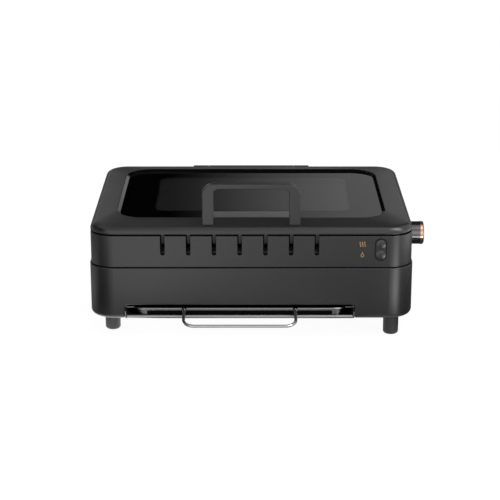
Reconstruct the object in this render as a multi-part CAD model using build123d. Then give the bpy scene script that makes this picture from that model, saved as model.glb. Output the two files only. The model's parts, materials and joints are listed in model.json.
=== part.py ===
from build123d import *
import os

# Indoor grill, in millimetres. The front faces -Y, right is +X and the table is z = 0.

# Outer form
BODY_W = 420.0  # base width
BODY_D = 310.0  # base depth
BODY_R = 32.0  # plan corner radius of the base
STEP_IN = 1.5  # inset of the upper housing and the lid from the base outline
WALL = 3.0  # moulded walls and floors
FOOT_H = 26.3
BASE_H = 69.2
BASE_EDGE = 6.0  # rounding of the base's lower edge
SEAM_EDGE = 0.8  # rounding of the edges along the seams
BASE_SEAM = 1.0  # shadow gap between base and upper housing
UPPER_H = 42.0
LID_SEAM = 2.0  # shadow gap under the lid
FIT = 0.3  # clearance between separate pieces
BORE_FIT = 0.05  # radial clearance of pins, shafts and screws in their holes
CUT = 1.0  # how far a cutting tool runs past the face it leaves

# Cooking zone, beside a control compartment on the right
SIDE_MARGIN = 38.0  # left side of the body to the liner
CONTROL_W = 60.0  # control compartment, from its wall to the right side of the body
CONTROL_GAP = 8.0  # liner to the compartment wall
COOK_MARGIN = 30.0  # front or rear face to the liner
DECK_DROP = 28.4  # top of the upper housing to its deck
SHEET = 1.2  # steel sheet of liner, tray, rails and bottom plate
LINER_DEPTH = 38.0
LINER_RIM = 7.0
LINER_R = 18.0
DRAIN_MARGIN = 45.0  # liner wall to its drain opening
PLATE_RIM_H = 4.0
PLATE_BODY_H = 5.0  # how far the plate reaches down into the liner
PLATE_SIDE_GAP = 2.0  # plate body to liner wall
PLATE_DISH = 2.0
RIDGE_PITCH = 22.0
RIDGE_W = 7.0
RIDGE_H = 3.5
RIDGE_MARGIN = 16.0  # ridge ends to the edge of the dish
RIDGE_SIDE = 24.0  # least room from the liner's side to the outer ridges
DRAIN_SLOT_W = 4.5
DRAIN_SLOT_MARGIN = 45.0
ELEMENT_R = 3.25
ELEMENT_DROP = 10.0  # plate underside to the element's axis
ELEMENT_RUNS = 4
ELEMENT_PITCH = 50.0
ELEMENT_BEND = 20.0
ELEMENT_MARGIN = 30.0
ELEMENT_TAIL = 14.0  # element end past the liner's wall
BRACKET_W = 2.5
BRACKET_SPACING = 150.0
BRACKET_STRIP_H = 9.0
BRACKET_LEG = 22.0

# Tray bay, tray and its rails
BAY_MARGIN = 8.0  # bay inside the liner's outline
NOTCH_H = 18.9
NOTCH_R = 4.0
NOTCH_EDGE = 2.2  # rounding of the notch's outer edge
BAY_WALL_H = 34.0
TRAY_SIDE = 13.5  # bay wall to the tray's pan
TRAY_SETBACK = 4.0  # front face to the tray's front wall
TRAY_REAR = 31.0  # rear face to the tray's rear wall
TRAY_DEPTH = 9.5
TRAY_R = 14.0
TRAY_LIFT = 0.7  # tray bottom over the bottom plate's lip
BEAD = 3.5  # rolled rim of the tray
BEAD_EDGE = 1.6
LIP_R = 2.5  # rolled front lip of the bottom plate
LIP_SETBACK = 0.8
LIP_END = 2.5
PLATE_FLANGE_H = 9.0
RAIL_START = 16.0  # front face to the rails
RAIL_END = 40.0  # rear face to the rails
RAIL_SCREW_IN = 16.0  # rail end to its screw
RAIL_HEADROOM = 1.3
RAIL_REACH = 1.0  # rail edge to the tray's pan
WIRE_R = 2.0
WIRE_HALF = 72.0  # tray middle to a leg of the wire handle
WIRE_REACH = 45.0
WIRE_DROOP = 8.0
WIRE_STRAIGHT = 10.0
WIRE_BEND = 14.0
WIRE_KINK = 20.0

# Feet, measured from the body's sides, front and rear
FOOT_R = 10.0
FOOT_EDGE = 3.5
FOOT_SIDE = 27.0
FOOT_FRONT_RIGHT = 21.0
FOOT_FRONT_LEFT = 39.0
FOOT_REAR = 25.0
FOOT_BORE_H = 10.0
FOOT_BORE_R = 4.0
FOOT_BOSS_R = 5.0
FOOT_BOSS_H = 9.0

# Housing joints
BOSS_R = 6.0
BOSS_SIDE = 14.0  # side of the body to the housing bosses
BOSS_FROM_END = 55.0  # front or rear face to the housing bosses
BOSS_BITE = 14.5  # boss height inside the upper housing
BOSS_LAND = 12.0  # boss top to the screw's seat in the base
BOSS_BORE_R = 4.2
SCREW = (1.75, 3.4, 2.2)  # shank radius, head radius, head height
SMALL_SCREW = (1.2, 2.2, 1.4)
SCREW_TIP = 2.0  # material left past the tip of a screw in a blind hole
BUMPER_L = 16.0
BUMPER_FROM_END = 50.0
COVER_T = 2.0
COVER_DROP = 0.5  # cover top under the housing's top
COVER_POST_R = 4.5
COVER_POST_H = 14.0
COVER_POST_FROM_END = 45.0  # front or rear face to the end posts
POST_BITE = 1.0  # how far the cover posts run into the side wall

# Vent slots in the upper housing's front, and the lid's tabs in them
VENT_COUNT = 7
VENT_PITCH = 33.0
VENT_W = 6.0
VENT_H = 26.0
TAB_W = 4.2
TAB_SHIFT = 0.5
TAB_H = 14.0
TAB_ROOT = 1.0
TAB_TIP = 0.8
TAB_LEAN = 6.5  # lid front to the face of a tab's tip

# Lid
LID_SHOULDER = 10.0  # lid height where its sloped top starts
LID_EDGE = 8.5  # rounding of the outer edge
LID_SLOPE_IN = 8.6  # outer edge to the start of the sloped top
LID_CREST = 12.2  # lid height at the recess
RIM_W = 36.0
SIDE_RIM_W = 32.0
REAR_RIM_W = 30.5
CREST_W = 1.0  # flat land on the crest around the recess
RECESS_R = 36.0
RECESS_BEVEL = 4.8  # at the front and the rear
SIDE_BEVEL = 4.0
RECESS_DROP = 2.3
LIP_T = 0.5  # frame lip over the glass
GASKET_T = 0.3
GLASS_T = 4.0
GLASS_LAP = 6.0
RETAINER_T = 2.0
LAND_W = 12.0  # land for the retainer beside the glass
RETAINER_LAP = 5.0
CHANNEL_TOP = 5.4  # hollow under the rim
RETAINER_SCREW_IN_X = 65.3  # glass side to the screws along its front and rear
RETAINER_SCREW_IN_Y = 50.3  # glass front or rear to the screws along its sides
RETAINER_BITE = 4.0  # screw length inside the frame's land

# Lid handle
HANDLE_W = 126.4
HANDLE_H = 54.0
HANDLE_LEG = 14.8
HANDLE_BAR = 6.6
HANDLE_DEPTH = 11.0
HANDLE_SETBACK = 9.5  # lid front to the handle's front
HANDLE_R = 15.0
HANDLE_INNER_R = 7.0
HANDLE_BEVEL = 1.2
HANDLE_BITE = 12.0  # screw length inside a handle leg
PAD_W = 104.0
PAD_D = 27.0
PAD_GAP = 0.9  # pad to the recess bevel

# Rear hinge
HINGE_BACK = 7.0  # lid's rear wall to the hinge axis
HINGE_UP = 1.6  # lid's lower edge to the hinge axis
KNUCKLE_R = 6.0
PIN_R = 2.5
PIN_HEAD_R = 4.0
PIN_HEAD_L = 1.5
BARREL_HALF = 61.5
KNUCKLE_GAP = 0.5
KNUCKLE_L = 21.7
LEAF_UP = 0.6
LEAF_H = 4.4
HINGE_PLATE_H = 23.0
HINGE_PLATE_DROP = 1.5
HINGE_ARM_H = 13.5
HINGE_SCREW_UP = 4.6  # lower edge of a hinge plate to its lower screw
HINGE_SCREW_PITCH = 5.8
HINGE_SCREW_OUT = 3.0  # screw tip past the inside of the wall
BARREL_SCREW_PITCH = 40.0

# Knob and thermostat on the right side
KNOB_FROM_FRONT = 85.0
KNOB_UP = 21.0  # above the upper housing's lower edge
KNOB_R = 15.1
KNOB_L = 19.2
KNOB_GAP = 1.0
KNOB_CHAMFER = 1.2
RING_L = 3.6
RING_FROM_TIP = 1.3
RING_T = 1.6
RING_PROUD = 0.3
KNOB_HOLLOW_R = 10.5
KNOB_HOLLOW_L = 6.5
POINTER_W = 1.4
POINTER_DEEP = 0.8
SHAFT_R = 3.0
SHAFT_BITE = 8.0  # shaft inside the knob's bore
THERMO_X = 22.0
THERMO_Y = 34.0
THERMO_Z = 28.0
THERMO_BACK = 6.0
NECK_R = 5.0
NECK_L = 4.0
NUT_R = 8.0
NUT_T = 3.0

# Indicator lamps on the front, right
LAMP_SIDE = 43.8  # right side of the body to the lamps
LAMP_MID_UP = 24.0  # bezel middle above the upper housing's lower edge
LAMP_PITCH = 14.2
LAMP_R = 6.0
LENS_DOME = 1.0
BEZEL_W = 15.6
BEZEL_L = 30.2
BEZEL_PROUD = 0.8
BEZEL_LIP = 1.0
BEZEL_DEEP = 12.0
LENS_SEAT = 3.2
LED_BORE_R = 4.8
LED_R = 2.5
LED_L = 7.0
BOARD_T = 1.6

# Electrical pieces in the control compartment
INLET_MARGIN = 4.5  # start of the plan corner to the mains inlet's flange
INLET_UP = 34.0  # above the base's lower edge
INLET_W = 28.0
INLET_H = 21.0
INLET_DEEP = 18.0
INLET_FLANGE = 3.5
INLET_FLANGE_T = 2.0
INLET_WALL = 2.5
INLET_PIN = 2.4
INLET_PIN_L = 12.0
INLET_PIN_PITCH = 7.0
BLOCK_SIDE = 36.0  # right side of the body to the terminal block
BLOCK_W = 30.0
BLOCK_D = 26.0
BLOCK_H = 18.0
BLOCK_FORWARD = 6.0  # element's rear tail to the front of the terminal block
TERMINAL_R = 2.2
TERMINAL_PITCH = 14.0
TERMINAL_IN = 6.5  # rear face of the block to its terminals
FUSE_L = 30.0
FUSE_H = 12.0
FUSE_T = 6.5
FUSE_BACK = 45.0
SENSOR_BODY = 12.0
SENSOR_H = 6.0
SENSOR_UP = 26.0
SENSOR_R = 2.0
SENSOR_REACH = 14.0
LEAD_R = 1.2
LEAD_BEND = 5.0
LEAD_TURN = 12.0  # stretch of a lead before its first turn
LEAD_RUN = 20.0  # stretch of a lead in front of the terminal block

# Heights
BASE_Z0 = FOOT_H
BASE_Z1 = BASE_Z0 + BASE_H
UP_Z0 = BASE_Z1 + BASE_SEAM
UP_Z1 = UP_Z0 + UPPER_H
LID_Z0 = UP_Z1 + LID_SEAM
DECK_Z = UP_Z1 - DECK_DROP
LINER_Z1 = DECK_Z + SHEET
LINER_Z0 = LINER_Z1 - LINER_DEPTH
PLATE_Z0 = LINER_Z1 - PLATE_BODY_H
PLATE_Z1 = LINER_Z1 + PLATE_RIM_H
ELEMENT_Z = PLATE_Z0 - ELEMENT_DROP
LIP_Z1 = BASE_Z0 + 2 * LIP_R
TRAY_Z0 = LIP_Z1 + TRAY_LIFT
TRAY_Z1 = TRAY_Z0 + TRAY_DEPTH
BEAD_Z = TRAY_Z1 - BEAD / 2
GLASS_Z1 = LID_Z0 + LID_CREST - RECESS_DROP - LIP_T - GASKET_T
GLASS_Z0 = GLASS_Z1 - GLASS_T
CREST_Z = LID_Z0 + LID_CREST

# Plan of the upper housing and the lid
UP_W = BODY_W - 2 * STEP_IN
UP_D = BODY_D - 2 * STEP_IN
UP_R = BODY_R - STEP_IN
UP_FRONT = -UP_D / 2
UP_RIGHT = UP_W / 2
UP_IN_W = UP_W - 2 * WALL
UP_IN_D = UP_D - 2 * WALL
UP_IN_R = UP_R - WALL

# Cooking zone and tray bay
COOK_X0 = -BODY_W / 2 + SIDE_MARGIN
CONTROL_X = BODY_W / 2 - CONTROL_W
COOK_X1 = CONTROL_X - CONTROL_GAP
COOK_X = (COOK_X0 + COOK_X1) / 2
COOK_W = COOK_X1 - COOK_X0
COOK_D = BODY_D - 2 * COOK_MARGIN
RIDGE_COUNT = 1 + int((COOK_W - 2 * RIDGE_SIDE) / RIDGE_PITCH)
BAY_X0 = COOK_X0 + BAY_MARGIN
BAY_X1 = COOK_X1 - BAY_MARGIN
BAY_W = BAY_X1 - BAY_X0
FRONT = -BODY_D / 2
REAR = BODY_D / 2
TRAY_W = BAY_W - 2 * TRAY_SIDE
TRAY_Y0 = FRONT + TRAY_SETBACK
TRAY_Y1 = REAR - TRAY_REAR
TRAY_D = TRAY_Y1 - TRAY_Y0
TRAY_Y = (TRAY_Y0 + TRAY_Y1) / 2

# Recess and glass in the lid
RECESS_W = UP_W - 2 * SIDE_RIM_W
RECESS_D = UP_D - RIM_W - REAR_RIM_W
RECESS_Y = (RIM_W - REAR_RIM_W) / 2
WINDOW_W = RECESS_W - 2 * SIDE_BEVEL
WINDOW_D = RECESS_D - 2 * RECESS_BEVEL
WINDOW_R = RECESS_R - RECESS_BEVEL
GLASS_W = WINDOW_W + 2 * GLASS_LAP
GLASS_D = WINDOW_D + 2 * GLASS_LAP
GLASS_R = WINDOW_R + GLASS_LAP

# Axes of the moving pieces
HINGE_Y = UP_D / 2 + HINGE_BACK
HINGE_Z = LID_Z0 + HINGE_UP
KNOB_Y = FRONT + KNOB_FROM_FRONT
KNOB_Z = UP_Z0 + KNOB_UP
KNOB_X0 = UP_RIGHT + KNOB_GAP
KNOB_TIP = KNOB_X0 + KNOB_L
LAMP_X = BODY_W / 2 - LAMP_SIDE
LAMP_Z = UP_Z0 + LAMP_MID_UP
THERMO_X1 = UP_RIGHT - WALL
THERMO_X0 = THERMO_X1 - THERMO_X
INLET_X = BODY_W / 2 - BODY_R - INLET_MARGIN - INLET_FLANGE - INLET_W / 2
INLET_Z = BASE_Z0 + INLET_UP

# The origin is the middle of the whole outline on the table
FRONT_REACH = TRAY_Y0 - WIRE_REACH - WIRE_R
REAR_REACH = HINGE_Y + KNUCKLE_R
PLACE = Pos((BODY_W / 2 - KNOB_TIP) / 2, -(FRONT_REACH + REAR_REACH) / 2, 0)

DOWN_TURN = Rot(180, 0, 0)
RIGHT_TURN = Rot(0, 90, 0)
LEFT_TURN = Rot(0, -90, 0)
BACK_TURN = Rot(-90, 0, 0)
FORWARD_TURN = Rot(90, 0, 0)


def slab(width, depth, corner, z0, z1, x=0.0, y=0.0):
    """Rounded rectangular block between two heights."""
    return extrude(Pos(x, y, z0) * RectangleRounded(width, depth, corner), z1 - z0)


def box(x0, x1, y0, y1, z0, z1):
    """Rectangular block between two opposite corners."""
    return Pos((x0 + x1) / 2, (y0 + y1) / 2, (z0 + z1) / 2) * Box(x1 - x0, y1 - y0, z1 - z0)


def post(x, y, z0, z1, radius):
    """Upright cylinder."""
    return Pos(x, y, (z0 + z1) / 2) * Cylinder(radius, z1 - z0)


def bar_x(x0, x1, y, z, radius):
    """Cylinder along X."""
    return Pos((x0 + x1) / 2, y, z) * RIGHT_TURN * Cylinder(radius, x1 - x0)


def bar_y(x, y0, y1, z, radius):
    """Cylinder along Y."""
    return Pos(x, (y0 + y1) / 2, z) * BACK_TURN * Cylinder(radius, y1 - y0)


def group(solids):
    """Separate solids that share one node."""
    return Part() + solids


def screw(size, length):
    """Screw along +Z, with its head's seat at z = 0."""
    shank, head, height = size
    return Pos(0, 0, length / 2) * Cylinder(shank, length) + Pos(0, 0, -height / 2) * Cylinder(head, height)


def screw_hole(size, length):
    """Hole for a screw, from just under the seat to just past its tip."""
    radius = size[0] + BORE_FIT
    return Pos(0, 0, (length + BORE_FIT) / 2) * Cylinder(radius, length + BORE_FIT)


def set_screws(places, size, length):
    return group([place * screw(size, length) for place in places])


def set_holes(places, size, length):
    return [place * screw_hole(size, length) for place in places]


def tube(points, radius, bend):
    """Round wire along straight runs joined by arcs."""
    path = FilletPolyline(*points, radius=bend)
    start = Vector(*points[0])
    section = Plane(start, z_dir=Vector(*points[1]) - start) * Circle(radius)
    return sweep(section, path=path)


def foot_places():
    """Foot names with their positions."""
    side = BODY_W / 2 - FOOT_SIDE
    return {
        "front_left_foot": (-side, FRONT + FOOT_FRONT_LEFT),
        "front_right_foot": (side, FRONT + FOOT_FRONT_RIGHT),
        "rear_left_foot": (-side, REAR - FOOT_REAR),
        "rear_right_foot": (side, REAR - FOOT_REAR),
    }


def boss_places():
    side = BODY_W / 2 - BOSS_SIDE
    along = REAR - BOSS_FROM_END
    return [(sx * side, sy * along) for sx in (-1, 1) for sy in (-1, 1)]


FOOT_SCREW_L = FOOT_H - FOOT_BORE_H + WALL + FOOT_BOSS_H - SCREW_TIP
FOOT_SCREWS = [Pos(x, y, FOOT_BORE_H) for x, y in foot_places().values()]
BOSS_SCREW_L = BOSS_LAND + BOSS_BITE - SCREW_TIP
BOSS_SCREWS = [Pos(x, y, UP_Z0 - BOSS_LAND) for x, y in boss_places()]
COVER_SCREW_L = COVER_T + COVER_POST_H / 2
COVER_X = UP_RIGHT - WALL - COVER_POST_R + POST_BITE
COVER_Z1 = UP_Z1 - COVER_DROP
COVER_Z0 = COVER_Z1 - COVER_T
COVER_SCREWS = [
    Pos(COVER_X, step * (REAR - COVER_POST_FROM_END), COVER_Z1) * DOWN_TURN for step in (-1, 0, 1)
]
SIDE_SCREW_L = SHEET + WALL
PLATE_SCREW_Z = BASE_Z0 + PLATE_FLANGE_H - SMALL_SCREW[1] - SHEET
RAIL_Z0 = TRAY_Z1 - BEAD - FIT - SHEET
RAIL_Z1 = TRAY_Z1 + RAIL_HEADROOM + SHEET
RAIL_Y0 = FRONT + RAIL_START
RAIL_Y1 = REAR - RAIL_END
RAIL_SCREW_Z = (RAIL_Z0 + RAIL_Z1) / 2


def bay_screws(z):
    """Places of the screws that go sideways into the two bay walls at one height."""
    places = []
    for y in (RAIL_Y0 + RAIL_SCREW_IN, RAIL_Y1 - RAIL_SCREW_IN):
        places.append(Pos(BAY_X0 + SHEET, y, z) * LEFT_TURN)
        places.append(Pos(BAY_X1 - SHEET, y, z) * RIGHT_TURN)
    return places


PLATE_SCREWS = bay_screws(PLATE_SCREW_Z)
RAIL_SCREWS = bay_screws(RAIL_SCREW_Z)


def hinge_screws():
    """Places of the screws that hold the hinge brackets to the upper housing's rear wall."""
    x = BARREL_HALF + KNUCKLE_GAP + KNUCKLE_L / 2
    z_low = UP_Z1 - HINGE_PLATE_DROP - HINGE_PLATE_H
    return [
        Pos(sx * x, UP_D / 2 + WALL, z_low + HINGE_SCREW_UP + step * HINGE_SCREW_PITCH) * FORWARD_TURN
        for sx in (-1, 1)
        for step in (0, 1)
    ]


HINGE_SCREWS = hinge_screws()
HINGE_SCREW_L = 2 * WALL + HINGE_SCREW_OUT
BARREL_SCREW_L = WALL + HINGE_BACK - PIN_R - SCREW_TIP
BARREL_SCREWS = [
    Pos(step * BARREL_SCREW_PITCH, UP_D / 2 - WALL, LID_Z0 + LEAF_UP + LEAF_H / 2) * BACK_TURN
    for step in (-1, 0, 1)
]
HANDLE_LEG_X = (HANDLE_W - HANDLE_LEG) / 2
HANDLE_Y0 = UP_FRONT + HANDLE_SETBACK
HANDLE_Y = HANDLE_Y0 + HANDLE_DEPTH / 2
HANDLE_Z0 = LID_Z0 + LID_SHOULDER
HANDLE_SCREW_L = LID_SHOULDER - CHANNEL_TOP + HANDLE_BITE
HANDLE_SCREWS = [Pos(sx * HANDLE_LEG_X, HANDLE_Y, LID_Z0 + CHANNEL_TOP) for sx in (-1, 1)]


def retainer_screws():
    """Places of the screws that hold the glass retainer up against the frame's land."""
    x = GLASS_W / 2 + LAND_W / 2
    y = GLASS_D / 2 + LAND_W / 2
    z = GLASS_Z0 - RETAINER_T
    along_x = GLASS_W / 2 - RETAINER_SCREW_IN_X
    along_y = GLASS_D / 2 - RETAINER_SCREW_IN_Y
    long_sides = [Pos(sx * along_x, RECESS_Y + sy * y, z) for sx in (-1, 1) for sy in (-1, 1)]
    short_sides = [Pos(sx * x, RECESS_Y + sy * along_y, z) for sx in (-1, 1) for sy in (-1, 1)]
    return long_sides + short_sides


RETAINER_SCREWS = retainer_screws()
RETAINER_SCREW_L = RETAINER_T + RETAINER_BITE


def vent_xs():
    middle = (VENT_COUNT - 1) / 2
    return [COOK_X + (index - middle) * VENT_PITCH for index in range(VENT_COUNT)]


def boss(x, y, z0, z1, wall_x):
    """Screw boss with a rib to the side wall."""
    rib = box(min(x, wall_x), max(x, wall_x), y - WALL / 2, y + WALL / 2, z0, z1)
    return post(x, y, z0, z1, BOSS_R) + rib


def front_plane(x, z, y):
    """Sketch plane that faces the front, at a height and depth."""
    return Plane((x, y, z), x_dir=(1, 0, 0), z_dir=(0, -1, 0))


def notch_edges(shell):
    """Edges around the notch on the outside of the front wall."""
    reach = BAY_W / 2 + NOTCH_R
    front = shell.edges().filter_by(lambda edge: edge.center().Y < FRONT + WALL / 2)
    inside = front.filter_by(lambda edge: abs(edge.center().X - COOK_X) < reach)
    return inside.filter_by(lambda edge: BASE_Z0 + CUT < edge.center().Z < BASE_Z0 + NOTCH_H + CUT)


def base_housing():
    shell = slab(BODY_W, BODY_D, BODY_R, BASE_Z0, BASE_Z1)
    shell = fillet(shell.faces().sort_by(Axis.Z)[0].edges(), BASE_EDGE)
    shell = fillet(shell.faces().sort_by(Axis.Z)[-1].edges(), SEAM_EDGE)
    shell -= slab(BODY_W - 2 * WALL, BODY_D - 2 * WALL, BODY_R - WALL, BASE_Z0 + WALL, BASE_Z1 + CUT)
    for x in (BAY_X0 - WALL, BAY_X1):
        shell += box(x, x + WALL, FRONT + WALL, REAR - WALL, BASE_Z0 + WALL, BASE_Z0 + BAY_WALL_H)
    shell -= box(BAY_X0, BAY_X1, FRONT + WALL, REAR - WALL, BASE_Z0 - CUT, BASE_Z0 + WALL)
    notch = front_plane(COOK_X, BASE_Z0, FRONT + WALL) * RectangleRounded(BAY_W, 2 * NOTCH_H, NOTCH_R)
    shell -= extrude(notch, WALL + CUT)
    shell = fillet(notch_edges(shell), NOTCH_EDGE)
    for x, y in boss_places():
        wall_x = (BODY_W / 2 - WALL / 2) * (1 if x > 0 else -1)
        shell += boss(x, y, BASE_Z0 + WALL, UP_Z0, wall_x)
    for x, y in boss_places():
        shell -= post(x, y, BASE_Z0 - CUT, UP_Z0 - BOSS_LAND, BOSS_BORE_R)
    for x, y in foot_places().values():
        shell += post(x, y, BASE_Z0 + WALL, BASE_Z0 + WALL + FOOT_BOSS_H, FOOT_BOSS_R)
    shell -= set_holes(BOSS_SCREWS, SCREW, BOSS_SCREW_L)
    shell -= set_holes(FOOT_SCREWS, SCREW, FOOT_SCREW_L)
    shell -= set_holes(PLATE_SCREWS + RAIL_SCREWS, SMALL_SCREW, SIDE_SCREW_L)
    inlet = front_plane(INLET_X, INLET_Z, REAR + CUT)
    shell -= extrude(inlet * Rectangle(INLET_W + 2 * FIT, INLET_H + 2 * FIT), WALL + 2 * CUT)
    shell -= bar_x(BAY_X1 - CUT, BAY_X1 + WALL + CUT, 0, BASE_Z0 + SENSOR_UP, SENSOR_R + BORE_FIT)
    return shell


def bottom_plate():
    y0 = FRONT + LIP_SETBACK
    y1 = REAR - WALL - FIT
    sheet = box(BAY_X0, BAY_X1, y0 + LIP_R, y1, BASE_Z0, BASE_Z0 + SHEET)
    flange_y0 = FRONT + WALL + FIT
    for x in (BAY_X0, BAY_X1 - SHEET):
        sheet += box(x, x + SHEET, flange_y0, y1, BASE_Z0, BASE_Z0 + PLATE_FLANGE_H)
    sheet += bar_x(BAY_X0 + LIP_END, BAY_X1 - LIP_END, y0 + LIP_R, BASE_Z0 + LIP_R, LIP_R)
    sheet -= set_holes(PLATE_SCREWS, SMALL_SCREW, SIDE_SCREW_L)
    return sheet


def tray_rail(side):
    """Channel on one bay wall that the tray's rolled rim runs in; side is -1 left or 1 right."""
    wall_x = BAY_X0 if side < 0 else BAY_X1
    pan_x = COOK_X + side * (TRAY_W / 2 + RAIL_REACH)
    web_x = wall_x - side * SHEET
    shelves = [RAIL_Z0, RAIL_Z1 - SHEET]
    rail = box(min(wall_x, web_x), max(wall_x, web_x), RAIL_Y0, RAIL_Y1, RAIL_Z0, RAIL_Z1)
    for z in shelves:
        rail += box(min(wall_x, pan_x), max(wall_x, pan_x), RAIL_Y0, RAIL_Y1, z, z + SHEET)
    rail -= set_holes(RAIL_SCREWS, SMALL_SCREW, SIDE_SCREW_L)
    return rail


def drip_tray():
    bead = slab(
        TRAY_W + 2 * BEAD, TRAY_D + 2 * BEAD, TRAY_R + BEAD, TRAY_Z1 - BEAD, TRAY_Z1, COOK_X, TRAY_Y
    )
    bead = fillet(bead.edges().filter_by(GeomType.LINE).filter_by(Plane.XY), BEAD_EDGE)
    pan = bead + slab(TRAY_W, TRAY_D, TRAY_R, TRAY_Z0, TRAY_Z1, COOK_X, TRAY_Y)
    inner_w = TRAY_W - 2 * SHEET
    inner_d = TRAY_D - 2 * SHEET
    pan -= slab(inner_w, inner_d, TRAY_R - SHEET, TRAY_Z0 + SHEET, TRAY_Z1 + CUT, COOK_X, TRAY_Y)
    for side in (-1, 1):
        x = COOK_X + side * WIRE_HALF
        pan -= bar_y(x, TRAY_Y0 - BEAD - CUT, TRAY_Y0, BEAD_Z, WIRE_R + BORE_FIT)
    return pan


def tray_handle():
    x0 = COOK_X - WIRE_HALF
    x1 = COOK_X + WIRE_HALF
    y1 = TRAY_Y0 - WIRE_STRAIGHT
    y2 = TRAY_Y0 - WIRE_REACH
    points = [
        (x0, TRAY_Y0, BEAD_Z),
        (x0, y1, BEAD_Z),
        (x0, y2, BEAD_Z - WIRE_DROOP),
        (x1, y2, BEAD_Z - WIRE_DROOP),
        (x1, y1, BEAD_Z),
        (x1, TRAY_Y0, BEAD_Z),
    ]
    return tube(points, WIRE_R, [WIRE_KINK, WIRE_BEND, WIRE_BEND, WIRE_KINK])


def foot(x, y):
    leg = post(x, y, 0, FOOT_H, FOOT_R)
    leg = fillet(leg.edges().sort_by(Axis.Z)[0], FOOT_EDGE)
    leg -= post(x, y, -CUT, FOOT_BORE_H, FOOT_BORE_R)
    leg -= set_holes(FOOT_SCREWS, SCREW, FOOT_SCREW_L)
    return leg


def upper_housing():
    shell = slab(UP_W, UP_D, UP_R, UP_Z0, UP_Z1)
    ends = shell.faces().filter_by(Axis.Z)
    shell = fillet(ends.edges(), SEAM_EDGE)
    shell -= slab(UP_IN_W, UP_IN_D, UP_IN_R, UP_Z0 - CUT, UP_Z1 + CUT)
    inside = slab(UP_IN_W, UP_IN_D, UP_IN_R, DECK_Z - WALL, COVER_Z0)
    deck = inside & box(-BODY_W, CONTROL_X + WALL, FRONT, REAR, DECK_Z - WALL, DECK_Z)
    well_w = COOK_W + 2 * FIT
    well_d = COOK_D + 2 * FIT
    deck -= slab(well_w, well_d, LINER_R + FIT, DECK_Z - WALL - CUT, DECK_Z + CUT, COOK_X)
    shell += deck
    shell += inside & box(CONTROL_X, CONTROL_X + WALL, FRONT, REAR, DECK_Z - WALL, COVER_Z0)
    for x, y in boss_places():
        wall_x = (UP_RIGHT - WALL / 2) * (1 if x > 0 else -1)
        shell += boss(x, y, UP_Z0, UP_Z0 + BOSS_BITE, wall_x)
    for place in COVER_SCREWS:
        y = place.position.Y
        shell += post(COVER_X, y, COVER_Z0 - COVER_POST_H, COVER_Z0, COVER_POST_R)
    shell -= set_holes(BOSS_SCREWS, SCREW, BOSS_SCREW_L)
    shell -= set_holes(COVER_SCREWS, SMALL_SCREW, COVER_SCREW_L)
    shell -= set_holes(HINGE_SCREWS, SMALL_SCREW, HINGE_SCREW_L)
    for x in vent_xs():
        slot = front_plane(x, UP_Z1, UP_FRONT + WALL) * SlotOverall(2 * VENT_H, VENT_W, rotation=90)
        shell -= extrude(slot, WALL + CUT)
    lamp_w = BEZEL_W - 2 * BEZEL_LIP + 2 * BORE_FIT
    lamp_l = BEZEL_L - 2 * BEZEL_LIP + 2 * BORE_FIT
    lamp = front_plane(LAMP_X, LAMP_Z, UP_FRONT + WALL + CUT) * SlotOverall(lamp_l, lamp_w, rotation=90)
    shell -= extrude(lamp, WALL + 2 * CUT)
    shell -= bar_x(THERMO_X1 - CUT, UP_RIGHT + CUT, KNOB_Y, KNOB_Z, NECK_R + BORE_FIT)
    return shell


def lid_bumpers():
    """Soft pads on the side walls that the closed lid comes down on."""
    pads = []
    for sx in (-1, 1):
        for sy in (-1, 1):
            half = (WALL - SEAM_EDGE - FIT) / 2
            x = sx * (UP_RIGHT - SEAM_EDGE - half)
            y = sy * (REAR - BUMPER_FROM_END)
            pads.append(
                box(x - half, x + half, y - BUMPER_L / 2, y + BUMPER_L / 2, UP_Z1, LID_Z0 - FIT)
            )
    return group(pads)


def compartment_cover():
    plan = slab(UP_IN_W - 2 * FIT, UP_IN_D - 2 * FIT, UP_IN_R - FIT, COVER_Z0, COVER_Z1)
    cover = plan & box(CONTROL_X, BODY_W, FRONT, REAR, COVER_Z0, COVER_Z1)
    cover -= set_holes(COVER_SCREWS, SMALL_SCREW, COVER_SCREW_L)
    return cover


def element_points():
    """Corners of the element's serpentine, from its front tail to its rear tail."""
    tail_x = COOK_X1 + ELEMENT_TAIL
    far_x = COOK_X0 + ELEMENT_MARGIN
    near_x = COOK_X1 - ELEMENT_MARGIN
    first = -(ELEMENT_RUNS - 1) / 2 * ELEMENT_PITCH
    points = []
    for run in range(ELEMENT_RUNS):
        y = first + run * ELEMENT_PITCH
        ends = [(near_x, y, ELEMENT_Z), (far_x, y, ELEMENT_Z)]
        points += ends if run % 2 == 0 else ends[::-1]
    points[0] = (tail_x, first, ELEMENT_Z)
    points[-1] = (tail_x, -first, ELEMENT_Z)
    return points


def element_tails():
    points = element_points()
    return [points[0], points[-1]]


def grill_liner():
    pan = slab(COOK_W, COOK_D, LINER_R, LINER_Z0, LINER_Z1, COOK_X)
    rim_w = COOK_W + 2 * LINER_RIM
    rim_d = COOK_D + 2 * LINER_RIM
    pan += slab(rim_w, rim_d, LINER_R + LINER_RIM, DECK_Z, LINER_Z1, COOK_X)
    inner_w = COOK_W - 2 * SHEET
    inner_d = COOK_D - 2 * SHEET
    pan -= slab(inner_w, inner_d, LINER_R - SHEET, LINER_Z0 + SHEET, LINER_Z1 + CUT, COOK_X)
    drain_w = COOK_W - 2 * DRAIN_MARGIN
    drain_d = COOK_D - 2 * DRAIN_MARGIN
    pan -= slab(drain_w, drain_d, LINER_R, LINER_Z0 - CUT, LINER_Z0 + SHEET + CUT, COOK_X)
    for x, y, z in element_tails():
        pan -= bar_x(COOK_X1 - SHEET - CUT, COOK_X1 + CUT, y, z, ELEMENT_R + FIT)
    return pan


def heating_element():
    return tube(element_points(), ELEMENT_R, ELEMENT_BEND)


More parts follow.
